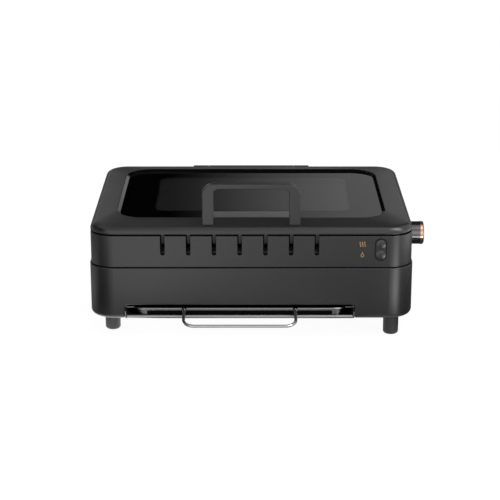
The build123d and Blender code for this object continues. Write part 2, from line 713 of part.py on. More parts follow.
def element_bracket(x):
    """Upright strip across the liner with a half-round seat for each run of the element."""
    half = COOK_D / 2 - SHEET
    x0 = x - BRACKET_W / 2
    x1 = x + BRACKET_W / 2
    strip = box(x0, x1, -half, half, ELEMENT_Z - BRACKET_STRIP_H, ELEMENT_Z)
    floor_z = LINER_Z0 + SHEET
    strip += box(x0, x1, -half, -half + BRACKET_LEG, floor_z, ELEMENT_Z)
    strip += box(x0, x1, half - BRACKET_LEG, half, floor_z, ELEMENT_Z)
    for run in range(ELEMENT_RUNS):
        y = (run - (ELEMENT_RUNS - 1) / 2) * ELEMENT_PITCH
        strip -= bar_x(x0 - CUT, x1 + CUT, y, ELEMENT_Z, ELEMENT_R + BORE_FIT)
    return strip


def element_brackets():
    return group([element_bracket(COOK_X + side * BRACKET_SPACING / 2) for side in (-1, 1)])


def grill_plate():
    rim_w = COOK_W + LINER_RIM
    rim_d = COOK_D + LINER_RIM
    plate = slab(rim_w, rim_d, LINER_R + LINER_RIM / 2, LINER_Z1, PLATE_Z1, COOK_X)
    body_w = COOK_W - 2 * SHEET - 2 * PLATE_SIDE_GAP
    body_d = COOK_D - 2 * SHEET - 2 * PLATE_SIDE_GAP
    body_r = LINER_R - SHEET - PLATE_SIDE_GAP
    plate += slab(body_w, body_d, body_r, PLATE_Z0, LINER_Z1, COOK_X)
    plate -= slab(body_w, body_d, body_r, PLATE_Z1 - PLATE_DISH, PLATE_Z1 + CUT, COOK_X)
    ridge_l = body_d - 2 * RIDGE_MARGIN
    slot_l = body_d - 2 * DRAIN_SLOT_MARGIN
    ridge_z0 = PLATE_Z1 - PLATE_DISH
    for index in range(RIDGE_COUNT):
        x = COOK_X + (index - (RIDGE_COUNT - 1) / 2) * RIDGE_PITCH
        ridge = Pos(x, 0, ridge_z0) * SlotOverall(ridge_l, RIDGE_W, rotation=90)
        plate += extrude(ridge, RIDGE_H)
    for index in range(RIDGE_COUNT - 1):
        x = COOK_X + (index - (RIDGE_COUNT - 2) / 2) * RIDGE_PITCH
        slot = Pos(x, 0, PLATE_Z0 - CUT) * SlotOverall(slot_l, DRAIN_SLOT_W, rotation=90)
        plate -= extrude(slot, PLATE_Z1 - PLATE_Z0 + CUT)
    return plate


def thermostat():
    body = box(
        THERMO_X0, THERMO_X1, KNOB_Y - THERMO_Y / 2, KNOB_Y + THERMO_Y / 2,
        KNOB_Z - THERMO_Z / 2, KNOB_Z + THERMO_Z / 2,
    )
    body += bar_x(THERMO_X1, UP_RIGHT + NECK_L, KNOB_Y, KNOB_Z, NECK_R)
    body -= bar_x(THERMO_X0 + THERMO_BACK, UP_RIGHT + NECK_L + CUT, KNOB_Y, KNOB_Z, SHAFT_R + BORE_FIT)
    return body


def thermostat_nut():
    hexagon = Plane((UP_RIGHT, KNOB_Y, KNOB_Z), x_dir=(0, 1, 0), z_dir=(1, 0, 0)) * RegularPolygon(NUT_R, 6)
    nut = extrude(hexagon, NUT_T)
    return nut - bar_x(UP_RIGHT - CUT, UP_RIGHT + NUT_T + CUT, KNOB_Y, KNOB_Z, NECK_R + BORE_FIT)


def thermostat_shaft():
    x1 = KNOB_X0 + KNOB_HOLLOW_L + SHAFT_BITE
    return bar_x(THERMO_X0 + THERMO_BACK + FIT, x1, KNOB_Y, KNOB_Z, SHAFT_R)


RING_X1 = KNOB_TIP - RING_FROM_TIP
RING_X0 = RING_X1 - RING_L


def control_knob():
    knob = bar_x(KNOB_X0, KNOB_TIP, KNOB_Y, KNOB_Z, KNOB_R)
    knob = chamfer(knob.edges().sort_by(Axis.X)[-1], KNOB_CHAMFER)
    groove = bar_x(RING_X0, RING_X1, KNOB_Y, KNOB_Z, KNOB_R + CUT)
    groove -= bar_x(RING_X0, RING_X1, KNOB_Y, KNOB_Z, KNOB_R - RING_T)
    knob -= groove
    knob -= bar_x(KNOB_X0 - CUT, KNOB_X0 + KNOB_HOLLOW_L, KNOB_Y, KNOB_Z, KNOB_HOLLOW_R)
    bore_x1 = KNOB_X0 + KNOB_HOLLOW_L + SHAFT_BITE + BORE_FIT
    knob -= bar_x(KNOB_X0, bore_x1, KNOB_Y, KNOB_Z, SHAFT_R + BORE_FIT)
    knob -= box(
        KNOB_TIP - POINTER_DEEP, KNOB_TIP + CUT, KNOB_Y - POINTER_W / 2, KNOB_Y + POINTER_W / 2,
        KNOB_Z, KNOB_Z + KNOB_R,
    )
    return knob


def knob_ring():
    ring = bar_x(RING_X0 + BORE_FIT, RING_X1 - BORE_FIT, KNOB_Y, KNOB_Z, KNOB_R + RING_PROUD)
    return ring - bar_x(RING_X0, RING_X1, KNOB_Y, KNOB_Z, KNOB_R - RING_T + BORE_FIT)


def lamp_zs():
    return [LAMP_Z + LAMP_PITCH / 2, LAMP_Z - LAMP_PITCH / 2]


def indicator_bezel():
    flange = front_plane(LAMP_X, LAMP_Z, UP_FRONT) * SlotOverall(BEZEL_L, BEZEL_W, rotation=90)
    bezel = extrude(flange, BEZEL_PROUD)
    core_w = BEZEL_W - 2 * BEZEL_LIP
    core_l = BEZEL_L - 2 * BEZEL_LIP
    core = front_plane(LAMP_X, LAMP_Z, UP_FRONT + BEZEL_DEEP) * SlotOverall(core_l, core_w, rotation=90)
    bezel += extrude(core, BEZEL_DEEP)
    for z in lamp_zs():
        bezel -= bar_y(LAMP_X, UP_FRONT - BEZEL_PROUD - CUT, UP_FRONT + LENS_SEAT, z, LAMP_R + BORE_FIT)
        bezel -= bar_y(LAMP_X, UP_FRONT, UP_FRONT + BEZEL_DEEP + CUT, z, LED_BORE_R)
    return bezel


def lamp_lens(z):
    """Round lens with a shallow domed front."""
    front = UP_FRONT - BEZEL_PROUD - LENS_DOME
    lens = bar_y(LAMP_X, front, UP_FRONT + LENS_SEAT, z, LAMP_R)
    dome_r = (LAMP_R**2 + LENS_DOME**2) / (2 * LENS_DOME)
    return lens & Pos(LAMP_X, front + dome_r, z) * Sphere(dome_r)


def lamp_led(z):
    back = UP_FRONT + BEZEL_DEEP
    return bar_y(LAMP_X, back - LED_L, back, z, LED_R)


def indicator_board():
    y = UP_FRONT + BEZEL_DEEP
    w = BEZEL_W / 2
    h = BEZEL_L / 2
    return box(LAMP_X - w, LAMP_X + w, y, y + BOARD_T, LAMP_Z - h, LAMP_Z + h)


def mains_inlet():
    y0 = REAR - INLET_DEEP
    y1 = REAR + INLET_FLANGE_T
    x0 = INLET_X - INLET_W / 2
    x1 = INLET_X + INLET_W / 2
    z0 = INLET_Z - INLET_H / 2
    z1 = INLET_Z + INLET_H / 2
    body = box(x0, x1, y0, REAR, z0, z1)
    body += box(
        x0 - INLET_FLANGE, x1 + INLET_FLANGE, REAR, y1, z0 - INLET_FLANGE, z1 + INLET_FLANGE
    )
    t = INLET_WALL
    body -= box(x0 + t, x1 - t, y0 + t, y1 + CUT, z0 + t, z1 - t)
    half = INLET_PIN / 2
    for step in (-1, 0, 1):
        x = INLET_X + step * INLET_PIN_PITCH
        body += box(x - half, x + half, y0, y0 + t + INLET_PIN_L, INLET_Z - half, INLET_Z + half)
    return body


BLOCK_Y0 = element_tails()[1][1] - BLOCK_FORWARD
BLOCK_Y1 = BLOCK_Y0 + BLOCK_D
BLOCK_Z0 = BASE_Z0 + WALL
BLOCK_Z1 = BLOCK_Z0 + BLOCK_H
BLOCK_X = BODY_W / 2 - BLOCK_SIDE
TERMINAL_XS = [BLOCK_X - TERMINAL_PITCH / 2, BLOCK_X + TERMINAL_PITCH / 2]
TERMINAL_Z = BLOCK_Z0 + BLOCK_H / 2


def terminal_block():
    block = box(BLOCK_X - BLOCK_W / 2, BLOCK_X + BLOCK_W / 2, BLOCK_Y0, BLOCK_Y1, BLOCK_Z0, BLOCK_Z1)
    for x in TERMINAL_XS:
        block -= post(x, BLOCK_Y1 - TERMINAL_IN, TERMINAL_Z + LEAD_R, BLOCK_Z1 + CUT, TERMINAL_R)
    return block


def thermal_fuse():
    """Cut-out clipped to the outside of the liner's right wall."""
    y = FUSE_BACK
    z1 = DECK_Z - WALL - FIT
    return box(COOK_X1, COOK_X1 + FUSE_T, y - FUSE_L / 2, y + FUSE_L / 2, z1 - FUSE_H, z1)


def water_sensor():
    """Probe that looks over the tray through the right bay wall."""
    z = BASE_Z0 + SENSOR_UP
    half = SENSOR_BODY / 2
    x = BAY_X1 + WALL
    body = box(x, x + SENSOR_BODY, -half, half, z - SENSOR_H / 2, z + SENSOR_H / 2)
    return body + bar_x(BAY_X1 - SENSOR_REACH, x, 0, z, SENSOR_R)


def supply_leads():
    """Two leads from the mains inlet to the terminal block."""
    y0 = REAR - INLET_DEEP
    middle = (y0 + BLOCK_Y1) / 2
    leads = []
    for x in TERMINAL_XS:
        inlet_x = x - BLOCK_X + INLET_X
        points = [
            (inlet_x, y0, INLET_Z),
            (inlet_x, middle, INLET_Z),
            (x, middle, TERMINAL_Z),
            (x, BLOCK_Y1, TERMINAL_Z),
        ]
        leads.append(tube(points, LEAD_R, LEAD_BEND))
    return group(leads)


def element_leads():
    """Leads from the thermostat to the front tail and from the terminal block to the rear tail."""
    front, rear = element_tails()
    turn_x = front[0] + LEAD_TURN
    low_z = ELEMENT_Z - LEAD_TURN
    thermo_x = (THERMO_X0 + THERMO_X1) / 2
    block_y = BLOCK_Y0 - LEAD_RUN
    to_front = [
        front,
        (turn_x, front[1], ELEMENT_Z),
        (turn_x, front[1], low_z),
        (thermo_x, KNOB_Y, low_z),
        (thermo_x, KNOB_Y, KNOB_Z - THERMO_Z / 2),
    ]
    to_rear = [
        rear,
        (turn_x, rear[1], ELEMENT_Z),
        (turn_x, rear[1], low_z),
        (TERMINAL_XS[0], block_y, low_z),
        (TERMINAL_XS[0], block_y, TERMINAL_Z),
        (TERMINAL_XS[0], BLOCK_Y0, TERMINAL_Z),
    ]
    return group([tube(to_front, LEAD_R, LEAD_BEND), tube(to_rear, LEAD_R, LEAD_BEND)])


def control_leads():
    """Leads from the terminal block, the lamps and the water sensor."""
    thermo_x = THERMO_X1 - LEAD_BEND
    thermo_y = KNOB_Y + LEAD_TURN
    block_to_thermostat = [
        (TERMINAL_XS[1], BLOCK_Y0, TERMINAL_Z),
        (TERMINAL_XS[1], 0, TERMINAL_Z),
        (thermo_x, thermo_y, TERMINAL_Z),
        (thermo_x, thermo_y, KNOB_Z - THERMO_Z / 2),
    ]
    lamps_to_thermostat = [
        (LAMP_X, UP_FRONT + BEZEL_DEEP + BOARD_T, LAMP_Z),
        (LAMP_X, KNOB_Y, LAMP_Z),
        (THERMO_X0, KNOB_Y, LAMP_Z),
    ]
    sensor_z = BASE_Z0 + SENSOR_UP
    block_x = BLOCK_X - BLOCK_W / 2 + 2 * LEAD_R
    sensor_to_block = [
        (BAY_X1 + WALL + SENSOR_BODY, 0, sensor_z),
        (block_x, 0, sensor_z),
        (block_x, 0, TERMINAL_Z),
        (block_x, BLOCK_Y0, TERMINAL_Z),
    ]
    routes = [block_to_thermostat, lamps_to_thermostat, sensor_to_block]
    return group([tube(points, LEAD_R, LEAD_BEND) for points in routes])


def lid_tab(x):
    """Sloped tab under the lid's front wall that hangs in one vent slot."""
    side = Plane((x + TAB_SHIFT - TAB_W / 2, 0, 0), x_dir=(0, 1, 0), z_dir=(1, 0, 0))
    inner = UP_FRONT + WALL
    tip = UP_FRONT + TAB_LEAN
    outline = Polyline(
        (UP_FRONT, LID_Z0 + TAB_ROOT),
        (inner, LID_Z0 + TAB_ROOT),
        (inner, LID_Z0),
        (tip + TAB_TIP, LID_Z0 - TAB_H),
        (tip, LID_Z0 - TAB_H),
        (UP_FRONT, LID_Z0),
        close=True,
    )
    return extrude(side * make_face(outline), TAB_W)


def lid_frame():
    shoulder_z = LID_Z0 + LID_SHOULDER
    frame = slab(UP_W, UP_D, UP_R, LID_Z0, shoulder_z)
    frame = fillet(frame.faces().sort_by(Axis.Z)[-1].edges(), LID_EDGE)
    frame = fillet(frame.faces().sort_by(Axis.Z)[0].edges(), SEAM_EDGE)
    shoulder = RectangleRounded(UP_W - 2 * LID_SLOPE_IN, UP_D - 2 * LID_SLOPE_IN, UP_R - LID_SLOPE_IN)
    crest = RectangleRounded(RECESS_W + 2 * CREST_W, RECESS_D + 2 * CREST_W, RECESS_R + CREST_W)
    frame += loft([Pos(0, 0, shoulder_z) * shoulder, Pos(0, RECESS_Y, CREST_Z) * crest], ruled=True)
    recess = RectangleRounded(RECESS_W, RECESS_D, RECESS_R)
    window = RectangleRounded(WINDOW_W, WINDOW_D, WINDOW_R)
    lip_z = CREST_Z - RECESS_DROP
    frame -= loft([Pos(0, RECESS_Y, lip_z) * window, Pos(0, RECESS_Y, CREST_Z) * recess], ruled=True)
    frame -= slab(WINDOW_W, WINDOW_D, WINDOW_R, LID_Z0 - CUT, lip_z, 0, RECESS_Y)
    seat_z = GLASS_Z1 + GASKET_T
    frame -= slab(GLASS_W + 2 * FIT, GLASS_D + 2 * FIT, GLASS_R + FIT, LID_Z0 - CUT, seat_z, 0, RECESS_Y)
    frame -= slab(UP_IN_W, UP_IN_D, UP_IN_R, LID_Z0 - CUT, GLASS_Z0)
    channel = slab(UP_IN_W, UP_IN_D, UP_IN_R, GLASS_Z0, LID_Z0 + CHANNEL_TOP)
    land_w = GLASS_W + 2 * LAND_W
    land_d = GLASS_D + 2 * LAND_W
    channel -= slab(land_w, land_d, GLASS_R, GLASS_Z0, LID_Z0 + CHANNEL_TOP, 0, RECESS_Y)
    frame -= channel
    half_leg = HANDLE_LEG / 2 + BORE_FIT
    half_depth = HANDLE_DEPTH / 2 + BORE_FIT
    for side in (-1, 1):
        x = side * HANDLE_LEG_X
        frame -= box(
            x - half_leg, x + half_leg, HANDLE_Y - half_depth, HANDLE_Y + half_depth, HANDLE_Z0, CREST_Z
        )
    frame -= set_holes(HANDLE_SCREWS, SCREW, HANDLE_SCREW_L)
    frame -= set_holes(RETAINER_SCREWS, SMALL_SCREW, RETAINER_SCREW_L)
    frame -= set_holes(BARREL_SCREWS, SMALL_SCREW, BARREL_SCREW_L)
    for x in vent_xs():
        frame += lid_tab(x)
    return frame


def glass_gasket():
    ring = slab(GLASS_W, GLASS_D, GLASS_R, GLASS_Z1, GLASS_Z1 + GASKET_T, 0, RECESS_Y)
    inner = (WINDOW_W + 2 * CREST_W, WINDOW_D + 2 * CREST_W, WINDOW_R + CREST_W)
    return ring - slab(*inner, GLASS_Z1 - CUT, GLASS_Z1 + GASKET_T + CUT, 0, RECESS_Y)


def lid_glass():
    return slab(GLASS_W, GLASS_D, GLASS_R, GLASS_Z0, GLASS_Z1, 0, RECESS_Y)


def glass_retainer():
    z0 = GLASS_Z0 - RETAINER_T
    outer_w = GLASS_W + 2 * LAND_W - 2 * FIT
    outer_d = GLASS_D + 2 * LAND_W - 2 * FIT
    ring = slab(outer_w, outer_d, GLASS_R, z0, GLASS_Z0, 0, RECESS_Y)
    inner_w = GLASS_W - 2 * RETAINER_LAP
    inner_d = GLASS_D - 2 * RETAINER_LAP
    ring -= slab(inner_w, inner_d, GLASS_R - RETAINER_LAP, z0 - CUT, GLASS_Z0 + CUT, 0, RECESS_Y)
    ring -= set_holes(RETAINER_SCREWS, SMALL_SCREW, RETAINER_SCREW_L)
    return ring


def lid_handle():
    face = front_plane(0, HANDLE_Z0, HANDLE_Y0 + HANDLE_DEPTH)
    arch = extrude(face * RectangleRounded(HANDLE_W, 2 * HANDLE_H, HANDLE_R), HANDLE_DEPTH)
    gap_w = HANDLE_W - 2 * HANDLE_LEG
    gap_h = HANDLE_H - HANDLE_BAR
    arch -= extrude(face * RectangleRounded(gap_w, 2 * gap_h, HANDLE_INNER_R), HANDLE_DEPTH)
    arch -= box(
        -HANDLE_W, HANDLE_W, HANDLE_Y0 - CUT, HANDLE_Y0 + HANDLE_DEPTH + CUT,
        HANDLE_Z0 - HANDLE_H - CUT, HANDLE_Z0,
    )
    front_edges = arch.faces().sort_by(Axis.Y)[0].edges()
    rear_edges = arch.faces().sort_by(Axis.Y)[-1].edges()
    long_edges = [edge for edge in front_edges + rear_edges if edge.center().Z > HANDLE_Z0 + HANDLE_BEVEL]
    arch = fillet(long_edges, HANDLE_BEVEL)
    return arch - set_holes(HANDLE_SCREWS, SCREW, HANDLE_SCREW_L)


def handle_base_pad():
    """Pad on the glass behind the front rim, between the handle's legs."""
    side = Plane((-PAD_W / 2, 0, 0), x_dir=(0, 1, 0), z_dir=(1, 0, 0))
    top_y = RECESS_Y - RECESS_D / 2 + PAD_GAP
    low_y = RECESS_Y - WINDOW_D / 2 + PAD_GAP
    outline = Polyline(
        (top_y, CREST_Z),
        (top_y + PAD_D, CREST_Z),
        (top_y + PAD_D, GLASS_Z1),
        (low_y, GLASS_Z1),
        (low_y, CREST_Z - RECESS_DROP),
        close=True,
    )
    return extrude(side * make_face(outline), PAD_W)


def hinge_bracket(side):
    """Plate on the upper housing's rear wall with one end knuckle; side is -1 left or 1 right."""
    inner = BARREL_HALF + KNUCKLE_GAP
    x0, x1 = sorted((side * inner, side * (inner + KNUCKLE_L)))
    z1 = UP_Z1 - HINGE_PLATE_DROP
    bracket = box(x0, x1, UP_D / 2, UP_D / 2 + WALL, z1 - HINGE_PLATE_H, z1)
    bracket += box(x0, x1, HINGE_Y - KNUCKLE_R, HINGE_Y, HINGE_Z - HINGE_ARM_H, HINGE_Z)
    bracket += bar_x(x0, x1, HINGE_Y, HINGE_Z, KNUCKLE_R)
    bracket -= bar_x(x0 - CUT, x1 + CUT, HINGE_Y, HINGE_Z, PIN_R + BORE_FIT)
    bracket -= set_holes(HINGE_SCREWS, SMALL_SCREW, HINGE_SCREW_L)
    return bracket


def hinge_pin():
    end = BARREL_HALF + KNUCKLE_GAP + KNUCKLE_L
    pin = bar_x(-end, end, HINGE_Y, HINGE_Z, PIN_R)
    for x in (-end - PIN_HEAD_L, end):
        pin += bar_x(x, x + PIN_HEAD_L, HINGE_Y, HINGE_Z, PIN_HEAD_R)
    return pin


def lid_hinge_barrel():
    leaf_z = LID_Z0 + LEAF_UP
    barrel = bar_x(-BARREL_HALF, BARREL_HALF, HINGE_Y, HINGE_Z, KNUCKLE_R)
    barrel += box(-BARREL_HALF, BARREL_HALF, UP_D / 2, HINGE_Y, leaf_z, leaf_z + LEAF_H)
    barrel -= bar_x(-BARREL_HALF - CUT, BARREL_HALF + CUT, HINGE_Y, HINGE_Z, PIN_R + BORE_FIT)
    barrel -= set_holes(BARREL_SCREWS, SMALL_SCREW, BARREL_SCREW_L)
    return barrel


def nodes():
    """Every piece under its node's name."""
    upper_lamp, lower_lamp = lamp_zs()
    feet = {name: foot(x, y) for name, (x, y) in foot_places().items()}
    return feet | {
        "base_housing": base_housing(),
        "bottom_plate": bottom_plate(),
        "bottom_plate_screws": set_screws(PLATE_SCREWS, SMALL_SCREW, SIDE_SCREW_L),
        "foot_screws": set_screws(FOOT_SCREWS, SCREW, FOOT_SCREW_L),
        "left_tray_rail": tray_rail(-1),
        "right_tray_rail": tray_rail(1),
        "rail_screws": set_screws(RAIL_SCREWS, SMALL_SCREW, SIDE_SCREW_L),
        "upper_housing": upper_housing(),
        "housing_screws": set_screws(BOSS_SCREWS, SCREW, BOSS_SCREW_L),
        "lid_bumpers": lid_bumpers(),
        "compartment_cover": compartment_cover(),
        "cover_screws": set_screws(COVER_SCREWS, SMALL_SCREW, COVER_SCREW_L),
        "grill_liner": grill_liner(),
        "heating_element": heating_element(),
        "element_brackets": element_brackets(),
        "grill_plate": grill_plate(),
        "thermostat": thermostat(),
        "thermostat_nut": thermostat_nut(),
        "thermostat_shaft": thermostat_shaft(),
        "control_knob": control_knob(),
        "knob_ring": knob_ring(),
        "indicator_bezel": indicator_bezel(),
        "heating_lamp_lens": lamp_lens(upper_lamp),
        "water_lamp_lens": lamp_lens(lower_lamp),
        "heating_led": lamp_led(upper_lamp),
        "water_led": lamp_led(lower_lamp),
        "indicator_board": indicator_board(),
        "mains_inlet": mains_inlet(),
        "terminal_block": terminal_block(),
        "thermal_fuse": thermal_fuse(),
        "water_sensor": water_sensor(),
        "supply_leads": supply_leads(),
        "element_leads": element_leads(),
        "control_leads": control_leads(),
        "left_hinge_bracket": hinge_bracket(-1),
        "right_hinge_bracket": hinge_bracket(1),
        "hinge_screws": set_screws(HINGE_SCREWS, SMALL_SCREW, HINGE_SCREW_L),
        "hinge_pin": hinge_pin(),
        "lid_frame": lid_frame(),
        "glass_gasket": glass_gasket(),
        "lid_glass": lid_glass(),
        "glass_retainer": glass_retainer(),
        "retainer_screws": set_screws(RETAINER_SCREWS, SMALL_SCREW, RETAINER_SCREW_L),
        "lid_handle": lid_handle(),
        "handle_screws": set_screws(HANDLE_SCREWS, SCREW, HANDLE_SCREW_L),
        "handle_base_pad": handle_base_pad(),
        "lid_hinge_barrel": lid_hinge_barrel(),
        "barrel_screws": set_screws(BARREL_SCREWS, SMALL_SCREW, BARREL_SCREW_L),
        "drip_tray": drip_tray(),
        "tray_handle": tray_handle(),
    }


def main():
    os.makedirs("parts", exist_ok=True)
    for name, piece in nodes().items():
        export_step(PLACE * piece, f"parts/{name}.step")


main()
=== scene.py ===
# %% [markdown]
# # An indoor grill
# The grill is a charcoal plastic body with a glass lid, a steel drip tray and a thermostat knob. Its solid
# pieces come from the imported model, each already at its real size and place, in metres. This lesson gives
# every piece its finish, models the small things that the solids leave out, and lights the grill in a white
# studio.

import json
import math

import bmesh
import bpy
from mathutils import Matrix, Vector


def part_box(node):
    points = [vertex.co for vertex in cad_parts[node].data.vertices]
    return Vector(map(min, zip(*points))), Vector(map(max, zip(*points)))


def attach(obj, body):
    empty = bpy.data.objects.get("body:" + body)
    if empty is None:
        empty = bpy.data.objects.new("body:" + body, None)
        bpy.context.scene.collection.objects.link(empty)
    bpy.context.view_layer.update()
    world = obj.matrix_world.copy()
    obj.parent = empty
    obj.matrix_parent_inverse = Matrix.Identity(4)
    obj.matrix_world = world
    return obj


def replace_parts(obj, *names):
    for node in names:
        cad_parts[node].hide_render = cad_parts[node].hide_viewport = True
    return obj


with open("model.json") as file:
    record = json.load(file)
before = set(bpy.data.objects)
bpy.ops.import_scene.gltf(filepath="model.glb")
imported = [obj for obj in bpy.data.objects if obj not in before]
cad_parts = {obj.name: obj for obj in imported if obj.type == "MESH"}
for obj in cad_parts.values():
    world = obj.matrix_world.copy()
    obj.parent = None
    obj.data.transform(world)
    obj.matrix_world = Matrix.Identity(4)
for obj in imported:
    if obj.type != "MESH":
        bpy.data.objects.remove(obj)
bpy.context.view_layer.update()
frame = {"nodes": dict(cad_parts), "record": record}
nodes = frame["nodes"]
MM = 0.001
print("solid pieces:", len(nodes))

# %% [markdown]
# ## Camera
# The photograph looks at the grill's front from about two metres away and 18 degrees above. A camera could
# be aimed by eye, but here its place was worked out from the seams and corners of the picture, so that each
# of them falls on the same pixel. The long lens keeps the sides of the body nearly parallel.

# %% Camera
PICTURE_PIXELS = 500
FOCAL_PIXELS = 1603
SENSOR_MM = 36
PITCH = math.radians(18)
CAMERA_PLACE = (-0.01105, -2.0916, 0.7549)

scene = bpy.context.scene
scene.view_settings.view_transform = "Standard"
lens = bpy.data.cameras.new("photo_camera")
lens.sensor_width = SENSOR_MM
lens.lens = FOCAL_PIXELS / PICTURE_PIXELS * SENSOR_MM
camera = bpy.data.objects.new("photo_camera", lens)
camera.location = CAMERA_PLACE
camera.rotation_euler = (math.pi / 2 - PITCH, 0, 0)
scene.collection.objects.link(camera)
scene.camera = camera
print("lens:", round(lens.lens, 1), "mm")

# %% [markdown]
# ## Writing shaders as sums
# A finish is a small sum: a colour that drifts a little, a roughness that follows it, a height for the
# bump. Nodes can be added and linked one by one, but then the sum is hard to read. This class wraps one
# output socket, so that an ordinary Python expression such as `0.4 + 0.1 * cloud` adds the Math nodes by
# itself. Every other kind of node comes from its `node` method.


# %% Shader expressions
class Wire:
    """One output socket of a node tree. Sums and products of wires add Math nodes to that tree."""

    def __init__(self, tree, socket=None):
        self.tree = tree
        self.socket = socket

    def node(self, kind, settings=None, sockets=None, output=0):
        """Add a node: its settings first, then a value or a wire for each of its sockets."""
        made = self.tree.nodes.new(kind)
        for name, value in (settings or {}).items():
            if name == "stops":
                set_stops(made.color_ramp, value)
            else:
                setattr(made, name, value)
        for key, value in (sockets or {}).items():
            if isinstance(value, Wire):
                self.tree.links.new(value.socket, made.inputs[key])
            else:
                made.inputs[key].default_value = value
        return Wire(self.tree, made.outputs[output])

    def math(self, operation, *values):
        return self.node("ShaderNodeMath", {"operation": operation}, dict(enumerate(values)))

    def __add__(self, other):
        return self.math("ADD", self, other)

    def __sub__(self, other):
        return self.math("SUBTRACT", self, other)

    def __rsub__(self, other):
        return self.math("SUBTRACT", other, self)

    def __mul__(self, other):
        return self.math("MULTIPLY", self, other)

    def __truediv__(self, other):
        return self.math("DIVIDE", self, other)

    def __gt__(self, other):
        return self.math("GREATER_THAN", self, other)

    def __lt__(self, other):
        return self.math("LESS_THAN", self, other)

    def __abs__(self):
        return self.math("ABSOLUTE", self)

    __radd__ = __add__
    __rmul__ = __mul__

    def step(self, low, high):
        """A smooth rise from 0 where this is below low to 1 where it is above high."""
        settings = {"interpolation_type": "SMOOTHSTEP"}
        return self.node("ShaderNodeMapRange", settings, {"Value": self, "From Min": low, "From Max": high})

    def reach(self, other):
        """How far a point lies from the middle, this and the other being its two distances along the axes."""
        squares = self * self + other * other
        return squares.math("SQRT", squares)

    def noise(self, scale, detail=2):
        return self.node("ShaderNodeTexNoise", {}, {"Vector": self, "Scale": scale, "Detail": detail})

    def stretch(self, x, y, z):
        return self.node("ShaderNodeMapping", {}, {"Vector": self, "Scale": (x, y, z)})

    def shift(self, x, y, z):
        return self.node("ShaderNodeMapping", {}, {"Vector": self, "Location": (-x, -y, -z)})

    def axes(self):
        split = self.tree.nodes.new("ShaderNodeSeparateXYZ")
        self.tree.links.new(self.socket, split.inputs[0])
        return [Wire(self.tree, output) for output in split.outputs]

    def blend(self, low, high):
        """A colour between two colours, this being the share of the second."""
        return self.node("ShaderNodeMix", {"data_type": "RGBA"}, {0: self, 6: low, 7: high}, 2)


def set_stops(ramp, stops):
    for extra in list(ramp.elements)[1:]:
        ramp.elements.remove(extra)
    ramp.elements[0].position, ramp.elements[0].color = stops[0]
    for position, colour in stops[1:]:
        ramp.elements.new(position).color = colour


class Finish:
    """A material with one Principled shader, its fixed values, and a wire that carries each point's place."""

    def __init__(self, name, **fixed):
        self.material = bpy.data.materials.new(name)
        self.material.use_nodes = True
        self.tree = self.material.node_tree
        self.shader = self.tree.nodes["Principled BSDF"]
        for socket, value in fixed.items():
            self.shader.inputs[socket.replace("_", " ")].default_value = value
        self.place = Wire(self.tree).node("ShaderNodeTexCoord", output="Object")

    def feed(self, socket, wire):
        self.tree.links.new(wire.socket, self.shader.inputs[socket])

    def bump(self, height, distance):
        sockets = {"Strength": 1.0, "Distance": distance, "Height": height}
        self.feed("Normal", height.node("ShaderNodeBump", {}, sockets))


def grey(value):
    return (value, value, value, 1)


def tint(colour, factor):
    return tuple(channel * factor for channel in colour[:3]) + (1,)


def box_middle(node_name):
    low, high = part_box(node_name)
    return (low + high) / 2


print("shader helpers ready")

# %% [markdown]
# ## White studio
# The photograph is a catalogue picture on pure white. More light would only bleach the grill, so the white
# comes from the floor and the world: rays that reach them from the camera, or by way of a mirror or glass,
# find a strength of one. Every other ray finds a plain, slightly grey room. A part of the floor's look
# stays a real diffuse surface, so the grill keeps its soft shadow.

# %% Floor and world
ROOM_LIGHT = 0.62
FLOOR_GLOW = 0.9
GLOW_STRENGTH = 1.06
PAPER_WHITE = 0.85
FLOOR_SIZE = 60


def seen_directly(tree):
    """1 for rays from the camera, a mirror or glass, 0 for the rays that only carry light."""
    start = Wire(tree)
    rays = [start.node("ShaderNodeLightPath", output="Is %s Ray" % kind)
            for kind in ("Camera", "Glossy", "Transmission")]
    return rays[0].math("MAXIMUM", rays[0], rays[1].math("MAXIMUM", rays[1], rays[2]))


def white_world():
    world = bpy.data.worlds.new("white_room")
    world.use_nodes = True
    seen = seen_directly(world.node_tree)
    level = ROOM_LIGHT + (1 - ROOM_LIGHT) * seen
    background = world.node_tree.nodes["Background"]
    background.inputs["Color"].default_value = grey(1)
    world.node_tree.links.new(level.socket, background.inputs["Strength"])
    return world


def white_floor():
    bpy.ops.object.select_all(action="DESELECT")
    bpy.ops.mesh.primitive_plane_add(size=FLOOR_SIZE)
    floor = bpy.context.object
    floor.name = "studio_floor"
    material = bpy.data.materials.new("studio_white")
    material.use_nodes = True
    tree = material.node_tree
    seen = seen_directly(tree)
    paper = seen.node("ShaderNodeBsdfDiffuse", {}, {"Color": grey(PAPER_WHITE)})
    glow = seen.node("ShaderNodeEmission", {}, {"Color": grey(1), "Strength": GLOW_STRENGTH})
    mixed = seen.node("ShaderNodeMixShader", {}, {0: FLOOR_GLOW * seen, 1: paper, 2: glow})
    tree.links.new(mixed.socket, tree.nodes["Material Output"].inputs["Surface"])
    floor.data.materials.append(material)


scene.world = white_world()
white_floor()
print("room light:", ROOM_LIGHT)

# %% [markdown]
# ## Lamps and cards
# Black gloss shows its surroundings more than its own colour, so a photographer shapes it with lamps and
# cards. Two soft boxes hang above and at the right. Then come cards that only reflections see: they cast no
# shadow and don't show in the picture. Five bands hang behind, for the glass, its bevel and the rim; others
# hang in front, overhead, at the left and off two corners, for the rounded edges; and four round ones lie
# on the floor, their brightness changing with direction, for the walls, the rounded corners and the feet.
# Before its first stop and past its last, a card keeps their brightness.

